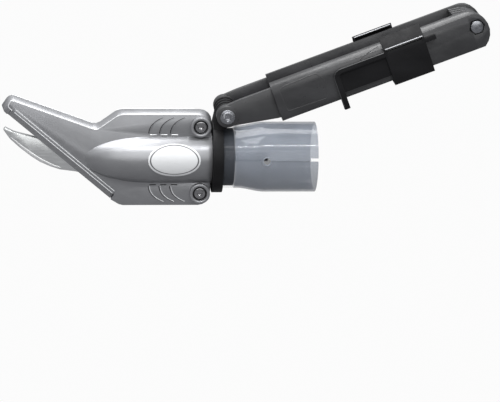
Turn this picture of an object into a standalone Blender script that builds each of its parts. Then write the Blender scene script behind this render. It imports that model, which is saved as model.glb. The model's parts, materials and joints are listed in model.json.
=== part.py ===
"""Drill-powered shear head with a telescoping strap arm, as separate pieces on real joints.

Frame: X along the drive axis, +X towards the drill, +Z up, the near side is -Y.
The origin is the centre of the hex shank's end face. Sizes below are in millimetres; every
finished mesh is scaled to metres.
"""

import math

import bmesh
import bpy
from mathutils import Matrix, Vector

MILLIMETRE = 0.001
GAP = 0.3  # running clearance left between touching pieces

# --- head casing (outline in X, Z) ---
HEAD_TOP = 39.1
HEAD_SOLE = -37.4
HEAD_REAR = -45.5
HEAD_CORNER_RADIUS = 9.5
DRAFT_INSET = 2.4
SHOULDER_FRONT = -119.5
SHOULDER_RADIUS = 8.0
SOLE_FRONT = -117.6
SOLE_RADIUS = 6.0
VALLEY = (-137.0, 26.6)
VALLEY_RADIUS = 7.0
JAW_TIP = (-211.0, 41.6)
JAW_TIP_CREST = (-204.6, 51.2)
JAW_CREST_RADIUS = 5.0
EDGE_TOP = (-206.3, 36.9)  # where the exposed side-blade strip starts
EDGE_BOTTOM = (-125.6, -32.5)  # where it ends
STRIP_HEIGHT = 4.8
BEAD_WIDTH = 2.8
BEAD_HEIGHT = 0.9

# --- blade stack ---
CENTRE_BLADE_THICKNESS = 5.0
SIDE_BLADE_THICKNESS = 4.0
CASING_WALL = 2.4  # casing metal outside the blade pocket
HEAD_HALF_WIDTH = CENTRE_BLADE_THICKNESS / 2 + SIDE_BLADE_THICKNESS + 2 * GAP + CASING_WALL
POCKET_RIM = 4.0  # casing metal left above the side blades
POCKET_REAR = -100.0
POCKET_TOP_REAR = 23.0
POCKET_BOTTOM = -28.0
PIVOT = (-118.0, -6.0)
PIVOT_RADIUS = 5.0
PIVOT_HALF_LENGTH = HEAD_HALF_WIDTH + 2.5
BUSH_WALL = 1.7
PIVOT_EYE_RADIUS = 15.0
NOSE = ((-209.6, 22.6), (-208.2, 24.2), (-202.0, 20.9), (-196.6, 19.3), (-187.2, 16.9), (-168.0, 11.6))
BELLY = (
    (-165.3, -9.9), (-173.2, -7.3), (-181.0, -3.6), (-188.9, 1.7), (-196.7, 7.9), (-204.5, 15.2),
)
NOSE_ROOT = (-150.0, 6.4)
BELLY_ROOT = (-151.8, -11.7)
DOWELS = ((-172.0, 30.6), (-150.0, 21.5))
DOWEL_RADIUS = 2.5
DOWEL_HALF_LENGTH = HEAD_HALF_WIDTH - 1.2

# --- casing screws ---
BOSS_X = -54.6
BOSS_Z = 27.3
BOSS_RADIUS = 8.2
BOSS_HALF_HEIGHT = HEAD_HALF_WIDTH + 3.5
SCREW_RADIUS = 2.5
SCREW_HEAD_RADIUS = 4.4
SCREW_HEAD_HEIGHT = 3.6
RECESS_RADIUS = 5.8
RECESS_DEPTH = 5.0
KEY_ACROSS_FLATS = 4.0
NUT_ACROSS_FLATS = 8.0
NUT_HEIGHT = 3.4

# --- drive ---
SHANK_ACROSS_FLATS = 6.35
SHANK_LENGTH = 27.0
DETENT_RADIUS = 2.7
DETENT_FROM_END = 9.5
SHAFT_RADIUS = 3.95
CRANK_THROW = 2.6
CRANK_DISC_RADIUS = 9.0
CRANK_DISC_THICKNESS = 5.5
CRANK_PIN_RADIUS = 2.5
ROLLER_RADIUS = 4.0
ROLLER_LENGTH = 11.0
ROLLER_CENTRE = -87.0
CLIP_THICKNESS = 0.7
FORK_ARM = 2.8
FORK_REAR = -80.5
BLADE_SWING = 2 * math.asin(CRANK_THROW / (ROLLER_CENTRE - PIVOT[0]))  # whole swing, radians
FORK_TRAVEL = (FORK_REAR - PIVOT[0]) * math.sin(BLADE_SWING)
FORK_HALF_GAP = ROLLER_RADIUS + FORK_TRAVEL + 2 * GAP  # clears the roller along the whole fork
FORK_REACH = math.hypot(
    FORK_HALF_GAP + FORK_ARM + FORK_TRAVEL - CRANK_THROW, CENTRE_BLADE_THICKNESS / 2
)

# --- cavity that the fork swings in, and the dome over it ---
CAVITY_CLEARANCE = 0.48
CAVITY_RADIUS = FORK_REACH + CAVITY_CLEARANCE
CAVITY_FRONT = -103.0
DOME_WALL = 3.2
DOME_RADIUS = CAVITY_RADIUS + DOME_WALL
DOME_NOSE_LENGTH = 58.5
DOME_STRAIGHT_FRONT = -94.0

# --- neck and bearings ---
NECK_RADIUS = 23.0
NECK_REAR = -28.0
FLANGE_RADIUS = CAVITY_RADIUS - GAP - 0.1
GROOVE_RADIUS = 15.0
REAR_WALL = 4.0
SHAFT_FIT = 0.25
BEARING_INNER = SHAFT_RADIUS + SHAFT_FIT
BEARING_OUTER = BEARING_INNER + 6.8
BEARING_WIDTH = 7.0
RACE_THICKNESS = 1.9
BALL_RADIUS = (BEARING_OUTER - BEARING_INNER) / 2 - RACE_THICKNESS - 0.2
BALLS = 7
FRONT_BEARING = -60.0
FLANGE_FRONT = FRONT_BEARING - BEARING_WIDTH / 2 - 1.5
REAR_BEARING = -36.5
SEAL_WIDTH = 2.4

# --- clamp ring, on the neck ---
RING_LENGTH = 8.0
RING_WALL = 5.2
RING_FRONT = HEAD_REAR + 0.5
RING_REAR = RING_FRONT + RING_LENGTH
RING_RADIUS = NECK_RADIUS + GAP + RING_WALL
LUG_HALF_WIDTH = 12.6
LUG_RIBS = 3
LUG_RIB_DEPTH = 1.0

# --- sleeve, on the neck behind the ring ---
SLEEVE_FRONT = RING_REAR + 0.4
SLEEVE_REAR = 37.7
SLEEVE_WALL = 1.6
SLEEVE_FLARE = 3.1  # how much the mouth is larger than the neck end, in radius
SLEEVE_NECK_RADIUS = NECK_RADIUS + GAP + SLEEVE_WALL
SLEEVE_RADIUS = SLEEVE_NECK_RADIUS + SLEEVE_FLARE
SLEEVE_SWELL = (-25.0, -3.0)
VENT_X = -2.9
VENT_Z = 3.4
VENT_RADIUS = 3.2
SLIT_WIDTH = 0.5
NOTCH_LENGTH = 6.2
NOTCH_WIDTH = 2.7

# --- arm, in its own frame: s along the arm, w square to it ---
KNUCKLE_RADIUS = 8.6
HINGE_CLEARANCE = 1.3  # between knuckle and sleeve
HINGE = (RING_REAR + 2.6, SLEEVE_RADIUS + HINGE_CLEARANCE + KNUCKLE_RADIUS)
ARM_ANGLE = 21.0
HINGE_BOLT_RADIUS = 2.5
HINGE_HEAD_RADIUS = 4.8
HINGE_HEAD_HEIGHT = 3.0
WASHER_THICKNESS = 0.8
TONGUE_THICKNESS = 3.7
TONGUE_INNER = LUG_HALF_WIDTH + 2.6
TONGUE_OUTER = TONGUE_INNER + TONGUE_THICKNESS
TONGUE_TOP = 9.2
TONGUE_BOTTOM = -15.7
TONGUE_TAPER_END = 38.0
TONGUE_LENGTH = 112.0
KNUCKLE_OUTER = TONGUE_OUTER + 1.7
SHELL_START = 39.5
SHELL_INNER_WALL = 1.5
SHELL_OUTER_WALL = 2.8
SHELL_TOP_WALL = 3.0
SHELL_BOTTOM_WALL = 2.5
SHELL_INNER = TONGUE_INNER - GAP - SHELL_INNER_WALL
SHELL_OUTER = TONGUE_OUTER + GAP + SHELL_OUTER_WALL
SHELL_TOP = TONGUE_TOP + GAP + SHELL_TOP_WALL
SHELL_BOTTOM = TONGUE_BOTTOM - GAP - SHELL_BOTTOM_WALL
SHELL_LENGTH = 160.0  # from its mouth to the centre of its round end
SHELL_END_RADIUS = 17.0
SHELL_END_CENTRE = (SHELL_START + SHELL_LENGTH, SHELL_TOP - SHELL_END_RADIUS)
SHOULDER_WIDTH = 6.0
SHOULDER_DROP = 9.5
SHELL_CAVITY_END = SHELL_END_CENTRE[0] - 15.5
END_FLAT_START = SHELL_END_CENTRE[0] + 2.5
END_FLAT = SHELL_OUTER - 1.7
END_BOLT = (SHELL_END_CENTRE[0] + 7.7, SHELL_END_CENTRE[1] + 3.1)
END_BOLT_RADIUS = 3.0
END_HEAD_RADIUS = 4.9
END_HEAD_HEIGHT = 3.0
END_POCKET_FLATS = 11.5
END_POCKET_DEPTH = 2.6
SPACER_START = SHELL_END_CENTRE[0] - 6.5
SPACER_BOTTOM = -12.0

# --- strap guides that slide on the shells ---
GUIDE_START = 132.0
GUIDE_LENGTH = 33.0
GUIDE_WALL = 2.7
GUIDE_OUTER = SHELL_OUTER + GAP + GUIDE_WALL
GUIDE_BOTTOM = SHELL_BOTTOM - GAP - 2.9
GUIDE_LIP_TOP = SHELL_BOTTOM + 4.5
GUIDE_LIP_WALL = 1.6
FAR_GUIDE_SHIFT = -17.5
RAIL_BOTTOM = 2.3
RAIL_TOP = 6.0
RAIL_END = 174.0
HOOK_START = 88.4
HOOK_WIDTH = 4.6
HOOK_TIP = -26.5
HOOK_BEND_RADIUS = 6.5
SIDE_PLATE_THICKNESS = 1.0
BRIDGE_TOP = (SHELL_OUTER - 5.4, SHELL_TOP + 4.1)
BRIDGE_FOOT = (SHELL_OUTER + 3.6, SHELL_TOP - 4.3)
BRIDGE_THICKNESS = 1.4
BRIDGE_WALL = 2.0

# --- nameplate ---
PLATE_CENTRE_X = -75.6
PLATE_ANGLE = 7.0
PLATE_HALF_LENGTH = 20.8
PLATE_HALF_HEIGHT = 13.4
PLATE_THICKNESS = 0.7

FINE = 40  # sides of a large round piece
ROUND = 24
SMALL = 16


# ---------------------------------------------------------------- outlines

def rounded(corners, step=24.0):
    """Turns corners (x, y, radius) into points, with an arc of the radius at each."""
    points = []
    count = len(corners)
    for i, (x, y, radius) in enumerate(corners):
        here = Vector((x, y))
        before = (Vector(corners[i - 1][:2]) - here).normalized()
        after = (Vector(corners[(i + 1) % count][:2]) - here).normalized()
        turn = math.pi - before.angle(after)
        if radius <= 0 or turn < 1e-4:
            points.append((x, y))
            continue
        reach = radius * math.tan(turn / 2)
        start = here + before * reach
        bisector = (before + after).normalized()
        centre = here + bisector * (radius / math.cos(turn / 2))
        arm = start - centre
        side = 1 if before.cross(after) < 0 else -1
        steps = max(1, round(math.degrees(turn) / step))
        for k in range(steps + 1):
            angle = side * turn * k / steps
            points.append(tuple(centre + Matrix.Rotation(angle, 2) @ arm))
    return points


def shifted_edges(corners, insets):
    """Moves edge i, from corner i to the next, inwards by insets[i] on a clockwise outline."""
    lines = []
    count = len(corners)
    for i in range(count):
        a, b = Vector(corners[i][:2]), Vector(corners[(i + 1) % count][:2])
        along = (b - a).normalized()
        inward = Vector((along.y, -along.x))
        lines.append((a + inward * insets[i], along))
    moved = []
    for i in range(count):
        (p, u), (q, v) = lines[i - 1], lines[i]
        t = (q - p).cross(v) / u.cross(v)
        meet = p + u * t
        moved.append((meet.x, meet.y, corners[i][2]))
    return moved


def circle(radius, sides, centre=(0.0, 0.0), phase=0.0):
    """Points of a regular polygon on a circle."""
    return [
        (
            centre[0] + radius * math.cos(phase + 2 * math.pi * i / sides),
            centre[1] + radius * math.sin(phase + 2 * math.pi * i / sides),
        )
        for i in range(sides)
    ]


def hexagon(across_flats, centre=(0.0, 0.0)):
    """A hexagon with a flat facing up."""
    return circle(across_flats / math.sqrt(3), 6, centre)


# ---------------------------------------------------------------- solids

def to_xz(point, depth):
    return (point[0], depth, point[1])


def to_yz(point, depth):
    return (depth, point[0], point[1])


def finished(bm):
    """Points every face of a closed mesh outwards."""
    bmesh.ops.recalc_face_normals(bm, faces=bm.faces)
    return bm


def prism(points, low, high, place=to_xz, top_points=None):
    """A solid between two outlines with as many points, at two depths."""
    bm = bmesh.new()
    first = [bm.verts.new(place(p, low)) for p in points]
    last = [bm.verts.new(place(p, high)) for p in (top_points or points)]
    bm.faces.new(first)
    bm.faces.new(last)
    count = len(points)
    for i in range(count):
        j = (i + 1) % count
        bm.faces.new((first[i], first[j], last[j], last[i]))
    return finished(bm)


def box(x, y, z):
    """A block between three pairs of limits."""
    return prism([(x[0], z[0]), (x[1], z[0]), (x[1], z[1]), (x[0], z[1])], y[0], y[1])


def turned(profile, sides=ROUND, centre=(0.0, 0.0)):
    """A solid turned about X from a closed (x, radius) profile; centre is the axis (y, z)."""
    bm = bmesh.new()
    rings = []
    for x, radius in profile:
        if radius < 1e-6:
            rings.append([bm.verts.new((x, centre[0], centre[1]))])
            continue
        rings.append([bm.verts.new((x, y, z)) for y, z in circle(radius, sides, centre)])
    for i, ring in enumerate(rings):
        other = rings[(i + 1) % len(rings)]
        for k in range(sides):
            m = (k + 1) % sides
            if len(ring) == 1 and len(other) == 1:
                continue
            if len(ring) == 1:
                bm.faces.new((ring[0], other[m], other[k]))
            elif len(other) == 1:
                bm.faces.new((ring[k], ring[m], other[0]))
            else:
                bm.faces.new((ring[k], ring[m], other[m], other[k]))
    return finished(bm)


def rod(radius, low, high, centre=(0.0, 0.0), sides=SMALL):
    """A round bar along Y."""
    return prism(circle(radius, sides, centre), low, high)


def tube(inner, outer, low, high, centre=(0.0, 0.0), sides=SMALL):
    """A round tube along Y."""
    return cut(rod(outer, low, high, centre, sides), rod(inner, low - 1, high + 1, centre, sides))


def ring_profile(inner, outer, front, rear):
    return [(front, inner), (front, outer), (rear, outer), (rear, inner)]


def disc_profile(outer, front, rear):
    return [(front, 0.0), (front, outer), (rear, outer), (rear, 0.0)]


def combined(base, tool, operation):
    """Boolean of two bmeshes, done with Blender's exact solver."""
    objects = []
    for name, bm in (("base", base), ("tool", tool)):
        mesh = bpy.data.meshes.new(name)
        bm.to_mesh(mesh)
        bm.free()
        scratch = bpy.data.objects.new(name, mesh)
        bpy.context.scene.collection.objects.link(scratch)
        objects.append(scratch)
    modifier = objects[0].modifiers.new("combine", "BOOLEAN")
    modifier.operation = operation
    modifier.solver = "EXACT"
    modifier.object = objects[1]
    graph = bpy.context.evaluated_depsgraph_get()
    mesh = bpy.data.meshes.new_from_object(objects[0].evaluated_get(graph))
    result = bmesh.new()
    result.from_mesh(mesh)
    bpy.data.meshes.remove(mesh)
    for scratch in objects:
        data = scratch.data
        bpy.data.objects.remove(scratch)
        bpy.data.meshes.remove(data)
    return result


def cut(base, *tools):
    for tool in tools:
        base = combined(base, tool, "DIFFERENCE")
    return base


def joined(base, *tools):
    for tool in tools:
        base = combined(base, tool, "UNION")
    return base


def kept(base, tool):
    return combined(base, tool, "INTERSECT")


def mirrored(bm):
    """The same solid on the other side of the XZ plane."""
    bmesh.ops.transform(bm, matrix=Matrix.Scale(-1, 4, (0, 1, 0)), verts=bm.verts)
    return finished(bm)


def moved(bm, x=0.0, y=0.0, z=0.0):
    bmesh.ops.translate(bm, vec=(x, y, z), verts=bm.verts)
    return bm


# ---------------------------------------------------------------- materials and placing

FINISHES = {
    "cast_silver": ((0.25, 0.255, 0.265), 0.38, 0.85),
    "ground_steel": ((0.42, 0.43, 0.44), 0.3, 1.0),
    "blade_steel": ((0.5, 0.51, 0.51), 0.28, 1.0),
    "bearing_steel": ((0.35, 0.35, 0.36), 0.2, 1.0),
    "black_oxide": ((0.02, 0.02, 0.022), 0.4, 0.9),
    "zinc": ((0.55, 0.56, 0.58), 0.3, 1.0),
    "bronze": ((0.35, 0.22, 0.08), 0.4, 1.0),
    "black_nylon": ((0.018, 0.018, 0.02), 0.45, 0.0),
    "smoke_vinyl": ((0.3, 0.34, 0.4), 0.25, 0.0),
    "black_rubber": ((0.012, 0.012, 0.012), 0.8, 0.0),
    "label_grey": ((0.7, 0.71, 0.72), 0.35, 0.0),
}


def material(name):
    """The named Principled material, made once."""
    found = bpy.data.materials.get(name)
    if found:
        return found
    colour, roughness, metallic = FINISHES[name]
    made = bpy.data.materials.new(name)
    made.use_nodes = True
    shader = made.node_tree.nodes["Principled BSDF"]
    shader.inputs["Base Color"].default_value = (*colour, 1.0)
    shader.inputs["Roughness"].default_value = roughness
    shader.inputs["Metallic"].default_value = metallic
    return made


def axis_frame(name, location=(0.0, 0.0, 0.0), tilt=0.0, parent=None):
    """An empty on a joint's axis; tilt raises its X axis, in degrees."""
    empty = bpy.data.objects.new(name, None)
    bpy.context.scene.collection.objects.link(empty)
    empty.location = [c * MILLIMETRE for c in location]
    empty.rotation_euler = (0.0, -math.radians(tilt), 0.0)
    empty.parent = parent
    return empty


def add_piece(name, bm, finish, frame=None):
    """Makes a named object in metres from a solid in its frame's own millimetres."""
    bmesh.ops.remove_doubles(bm, verts=bm.verts, dist=1e-4)
    bmesh.ops.scale(bm, vec=(MILLIMETRE,) * 3, verts=bm.verts)
    bmesh.ops.triangulate(bm, faces=bm.faces)
    mesh = bpy.data.meshes.new(name)
    bm.to_mesh(mesh)
    bm.free()
    mesh.shade_smooth()
    mesh.set_sharp_from_angle(angle=math.radians(35))
    mesh.materials.append(material(finish))
    piece = bpy.data.objects.new(name, mesh)
    bpy.context.scene.collection.objects.link(piece)
    piece.parent = frame
    return piece


# ---------------------------------------------------------------- head casing

def slant():
    """Unit vectors along the slanted edge, downwards, and square to it, into the casing."""
    along = (Vector(EDGE_BOTTOM) - Vector(EDGE_TOP)).normalized()
    return along, Vector((-along.y, along.x))


def edge_point(share, inward):
    """A point beside the slanted edge: share of the way down, and inward of the strip's rim."""
    _, into = slant()
    point = Vector(EDGE_TOP).lerp(Vector(EDGE_BOTTOM), share) + into * inward
    return point.x, point.y


def casing_corners():
    """The casing's outline at the parting plane, clockwise from the jaw's tip."""
    return [
        (*JAW_TIP, 1.6),
        (*JAW_TIP_CREST, JAW_CREST_RADIUS),
        (*VALLEY, VALLEY_RADIUS),
        (SHOULDER_FRONT, HEAD_TOP, SHOULDER_RADIUS),
        (HEAD_REAR, HEAD_TOP, HEAD_CORNER_RADIUS),
        (HEAD_REAR, HEAD_SOLE, HEAD_CORNER_RADIUS),
        (SOLE_FRONT, HEAD_SOLE, SOLE_RADIUS),
        (*edge_point(1.0, 0.0), 0.6),
        (*edge_point(1.0, STRIP_HEIGHT), 0.0),
        (*edge_point(0.0, STRIP_HEIGHT), 0.0),
        (*edge_point(0.0, 0.0), 0.6),
    ]


def casing_plate():
    """The drafted plate of the near half: full outline at the parting, smaller at the face."""
    corners = casing_corners()
    drafts = [DRAFT_INSET] * 4 + [1.0, 0.0, 0.0, 0.0, 0.0, 0.0, 0.0]
    face = rounded(shifted_edges(corners, drafts))
    return prism(rounded(corners), -GAP / 2, -HEAD_HALF_WIDTH, to_xz, face)


def dome():
    """The ogive housing over the drive, turned about X."""
    profile = []
    steps = 9
    for k in range(steps):
        angle = math.pi / 2 * k / steps
        x = DOME_STRAIGHT_FRONT - DOME_NOSE_LENGTH * math.cos(angle)
        profile.append((x, DOME_RADIUS * math.sin(angle)))
    profile.append((DOME_STRAIGHT_FRONT, DOME_RADIUS))
    profile.append((HEAD_REAR, DOME_RADIUS))
    profile.append((HEAD_REAR, 0.0))
    return turned(profile, FINE)


def blade_pocket(clearance=0.0):
    """The pocket that the side blades fill, open at the slanted edge; inset by the clearance."""
    rim = Vector(VALLEY) - Vector(JAW_TIP_CREST)
    down = Vector((rim.y, -rim.x)).normalized() * POCKET_RIM
    crest = Vector(JAW_TIP_CREST) + down
    valley = Vector(VALLEY) + down
    tip = crest.lerp(valley, 0.035)
    corners = [
        (*edge_point(0.0, -8.0), 0.0),
        (*edge_point(0.0, STRIP_HEIGHT), 0.0),
        (tip.x, tip.y, 0.0),
        (valley.x, valley.y, 0.0),
        (SHOULDER_FRONT, POCKET_TOP_REAR, 0.0),
        (POCKET_REAR, POCKET_TOP_REAR, 0.0),
        (POCKET_REAR, POCKET_BOTTOM, 0.0),
        (*edge_point(1.0, STRIP_HEIGHT), 0.0),
        (*edge_point(1.0, -8.0), 0.0),
    ]
    insets = [clearance] * 8 + [8.0 if clearance else 0.0]
    return rounded(shifted_edges(corners, insets))


def pocket_depth():
    return CENTRE_BLADE_THICKNESS / 2 + SIDE_BLADE_THICKNESS + 2 * GAP


def bead():
    """The raised lip along the slanted edge on the near face."""
    ends = [edge_point(s, i) for s, i in (
        (0.02, STRIP_HEIGHT), (0.02, STRIP_HEIGHT + BEAD_WIDTH),
        (0.985, STRIP_HEIGHT + BEAD_WIDTH), (0.985, STRIP_HEIGHT),
    )]
    face = HEAD_HALF_WIDTH + BEAD_HEIGHT
    return prism(ends, -HEAD_HALF_WIDTH + 1.0, -face)


def boss_centres():
    return [(BOSS_X, BOSS_Z), (BOSS_X, -BOSS_Z)]


def half_casing():
    """The near casing before its screw recesses."""
    solid = joined(casing_plate(), bead())
    for centre in boss_centres():
        solid = joined(solid, rod(BOSS_RADIUS, -GAP / 2, -BOSS_HALF_HEIGHT, centre, ROUND))
    half = box((-160, HEAD_REAR + 1), (-DOME_RADIUS - 1, -GAP / 2), (-30, 30))
    solid = joined(solid, kept(dome(), half))
    wall_front = HEAD_REAR - REAR_WALL
    solid = cut(
        solid,
        turned(disc_profile(CAVITY_RADIUS, CAVITY_FRONT, wall_front), ROUND + 8),
        turned(disc_profile(GROOVE_RADIUS + GAP, wall_front - 1, HEAD_REAR + 1), ROUND + 8),
        prism(blade_pocket(), 1.0, -pocket_depth()),
        rod(PIVOT_RADIUS + GAP, 1.0, -PIVOT_HALF_LENGTH - GAP, PIVOT),
    )
    for centre in DOWELS:
        solid = cut(solid, rod(DOWEL_RADIUS + GAP, 1.0, -DOWEL_HALF_LENGTH - GAP, centre))
    for centre in boss_centres():
        solid = cut(solid, rod(SCREW_RADIUS + GAP, 1.0, -BOSS_HALF_HEIGHT - 1, centre))
    return solid


def near_casing():
    recess = -BOSS_HALF_HEIGHT + RECESS_DEPTH
    solid = half_casing()
    for centre in boss_centres():
        solid = cut(solid, rod(RECESS_RADIUS, recess, -BOSS_HALF_HEIGHT - 1, centre, ROUND))
    return solid


def far_casing():
    recess = -BOSS_HALF_HEIGHT + RECESS_DEPTH
    solid = half_casing()
    for centre in boss_centres():
        pocket = hexagon(NUT_ACROSS_FLATS + 2 * GAP, centre)
        solid = cut(solid, prism(pocket, recess, -BOSS_HALF_HEIGHT - 1))
    return mirrored(solid)


def casing_screw(centre):
    """A socket-head screw through the bosses."""
    seat = -BOSS_HALF_HEIGHT + RECESS_DEPTH - GAP
    head = rod(SCREW_HEAD_RADIUS, seat, seat - SCREW_HEAD_HEIGHT, centre, ROUND)
    shank = rod(SCREW_RADIUS, seat - 1, BOSS_HALF_HEIGHT - 0.6, centre)
    key = prism(hexagon(KEY_ACROSS_FLATS, centre), seat - SCREW_HEAD_HEIGHT + 2.2, seat - 9)
    return cut(joined(head, shank), key)


def casing_nut(centre):
    """A hex nut in the far boss."""
    seat = BOSS_HALF_HEIGHT - RECESS_DEPTH + GAP
    body = prism(hexagon(NUT_ACROSS_FLATS, centre), seat, seat + NUT_HEIGHT)
    return cut(body, rod(SCREW_RADIUS + GAP, seat - 1, seat + NUT_HEIGHT + 1, centre))


def nameplate():
    """A blank oval plate that follows the dome's curve."""
    bm = bmesh.new()
    rings, sides = 4, 28
    skins = []
    for radius in (DOME_RADIUS + GAP, DOME_RADIUS + GAP + PLATE_THICKNESS):
        layers = []
        for ring in range(rings + 1):
            share = ring / rings
            layer = []
            for k in range(sides if ring else 1):
                angle = 2 * math.pi * k / sides
                x = PLATE_CENTRE_X + share * PLATE_HALF_LENGTH * math.cos(angle)
                arc = share * PLATE_HALF_HEIGHT * math.sin(angle)
                turn = math.radians(PLATE_ANGLE) + arc / DOME_RADIUS
                spot = (x, -radius * math.cos(turn), radius * math.sin(turn))
                layer.append(bm.verts.new(spot))
            layers.append(layer)
        skins.append(layers)
    for layers in skins:
        for k in range(sides):
            m = (k + 1) % sides
            bm.faces.new((layers[0][0], layers[1][k], layers[1][m]))
            for inner, outer in zip(layers[1:], layers[2:]):
                bm.faces.new((inner[k], inner[m], outer[m], outer[k]))
    low, high = skins[0][-1], skins[1][-1]
    for k in range(sides):
        m = (k + 1) % sides
        bm.faces.new((low[k], low[m], high[m], high[k]))
    return finished(bm)


# ---------------------------------------------------------------- blades

def side_blade():
    """The near side blade, which shows below the casing as the strip."""
    outline = blade_pocket(GAP)
    low = -CENTRE_BLADE_THICKNESS / 2 - GAP
    solid = prism(outline, low, low - SIDE_BLADE_THICKNESS)
    solid = cut(solid, rod(PIVOT_RADIUS + GAP, 0, -30, PIVOT))
    for centre in DOWELS:
        solid = cut(solid, rod(DOWEL_RADIUS + GAP, 0, -30, centre))
    clear = turned(disc_profile(FLANGE_RADIUS, POCKET_REAR - 4, POCKET_REAR + 1), ROUND)
    return cut(solid, clear)


def centre_blade():
    """The moving blade: ground nose, pivot eye and the fork that the roller drives."""
    top, bottom = CRANK_THROW + FORK_HALF_GAP, CRANK_THROW - FORK_HALF_GAP
    slot_front = ROLLER_CENTRE - ROLLER_LENGTH / 2 - 5.0
    nose = [(*point, 0.0) for point in NOSE] + [(*NOSE_ROOT, 10.0)]
    eye_top = PIVOT[1] + PIVOT_EYE_RADIUS
    eye_bottom = PIVOT[1] - PIVOT_EYE_RADIUS
    tail = [
        (PIVOT[0] - 8, eye_top, 6.0), (slot_front - 7, eye_top, 4.0),
        (slot_front - 2, top + FORK_ARM, 2.0),
        (FORK_REAR, top + FORK_ARM, 1.0), (FORK_REAR, top, 1.0), (slot_front, top, 3.0),
        (slot_front, bottom, 3.0), (FORK_REAR, bottom, 1.0), (FORK_REAR, bottom - FORK_ARM, 1.0),
        (slot_front - 2, bottom - FORK_ARM, 4.0), (PIVOT[0] + 8, eye_bottom, 6.0),
    ]
    belly = [(PIVOT[0] - 8, eye_bottom, 8.0), (*BELLY_ROOT, 12.0)]
    belly += [(*point, 0.0) for point in BELLY]
    half = CENTRE_BLADE_THICKNESS / 2
    solid = prism(rounded(nose + tail + belly), -half, half)
    eye = PIVOT_RADIUS + GAP + BUSH_WALL + GAP
    return cut(solid, rod(eye, -half - 1, half + 1, PIVOT, ROUND))


def pivot_bush():
    half = CENTRE_BLADE_THICKNESS / 2
    inner = PIVOT_RADIUS + GAP
    return tube(inner, inner + BUSH_WALL, -half, half, PIVOT, ROUND)


def blade_dowel(centre):
    """A pin through both side blades and into both casings."""
    return rod(DOWEL_RADIUS, -DOWEL_HALF_LENGTH, DOWEL_HALF_LENGTH, centre)


# ---------------------------------------------------------------- drive and neck

def drive_shaft():
    """Hex shank, journal, crank disc and crank pin in one forging."""
    hexagonal = prism(hexagon(SHANK_ACROSS_FLATS), -SHANK_LENGTH, 0.0, to_yz)
    detent = turned(ring_profile(DETENT_RADIUS, 6, -DETENT_FROM_END - 3, -DETENT_FROM_END))
    disc_rear = FLANGE_FRONT - GAP - 0.2
    disc_front = disc_rear - CRANK_DISC_THICKNESS
    journal = turned(disc_profile(SHAFT_RADIUS, disc_rear - 1.0, -SHANK_LENGTH + 1.0))
    disc = turned(disc_profile(CRANK_DISC_RADIUS, disc_front, disc_rear))
    roller_front = ROLLER_CENTRE - ROLLER_LENGTH / 2
    pin_front = roller_front - GAP - CLIP_THICKNESS - 1.0
    groove_rear = roller_front - GAP + 0.1
    groove_front = groove_rear - CLIP_THICKNESS - 0.2
    groove_radius = CRANK_PIN_RADIUS - 0.7
    pin = turned(
        [
            (pin_front, 0.0), (pin_front, CRANK_PIN_RADIUS), (groove_front, CRANK_PIN_RADIUS),
            (groove_front, groove_radius), (groove_rear, groove_radius),
            (groove_rear, CRANK_PIN_RADIUS), (disc_front + 1, CRANK_PIN_RADIUS),
            (disc_front + 1, 0.0),
        ],
        SMALL, (0, CRANK_THROW),
    )
    return joined(cut(hexagonal, detent), joined(joined(journal, disc), pin))


def crank_roller():
    half = ROLLER_LENGTH / 2
    profile = ring_profile(
        CRANK_PIN_RADIUS + GAP, ROLLER_RADIUS, ROLLER_CENTRE - half, ROLLER_CENTRE + half
    )
    return turned(profile, SMALL, (0, CRANK_THROW))


def crank_clip():
    rear = ROLLER_CENTRE - ROLLER_LENGTH / 2 - GAP
    profile = ring_profile(CRANK_PIN_RADIUS - 0.4, ROLLER_RADIUS - 0.4, rear - CLIP_THICKNESS, rear)
    return turned(profile, SMALL, (0, CRANK_THROW))


def bearing_limits(centre):
    return centre - BEARING_WIDTH / 2, centre + BEARING_WIDTH / 2


def outer_race(centre):
    return turned(ring_profile(BEARING_OUTER - RACE_THICKNESS, BEARING_OUTER, *bearing_limits(centre)))


def inner_race(centre):
    return turned(ring_profile(BEARING_INNER, BEARING_INNER + RACE_THICKNESS, *bearing_limits(centre)))


def ball_cage(centre):
    """The ring of balls of one bearing, in the cage that spaces them."""
    pitch = (BEARING_OUTER + BEARING_INNER) / 2
    cage = turned(ring_profile(pitch - 0.4, pitch + 0.4, centre - 0.9, centre + 0.9))
    for y, z in circle(pitch, BALLS):
        ball = bmesh.new()
        spot = Matrix.Translation((centre, y, z))
        bmesh.ops.create_icosphere(ball, subdivisions=1, radius=BALL_RADIUS, matrix=spot)
        cage = joined(cage, ball)
    return cage


def bearing_spacer():
    front = bearing_limits(FRONT_BEARING)[1] + GAP
    rear = bearing_limits(REAR_BEARING)[0] - GAP
    return turned(ring_profile(BEARING_INNER, BEARING_INNER + RACE_THICKNESS - 0.3, front, rear))


def circlip_rear():
    return bearing_limits(REAR_BEARING)[1] + GAP + 1.1


def circlip():
    rear = circlip_rear()
    return turned(ring_profile(BEARING_OUTER - 2.2, BEARING_OUTER + 1.0, rear - 1.0, rear))


def shaft_seal():
    front = circlip_rear() + 2 * GAP
    return turned(ring_profile(SHAFT_RADIUS + GAP, BEARING_OUTER, front, front + SEAL_WIDTH))


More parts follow.
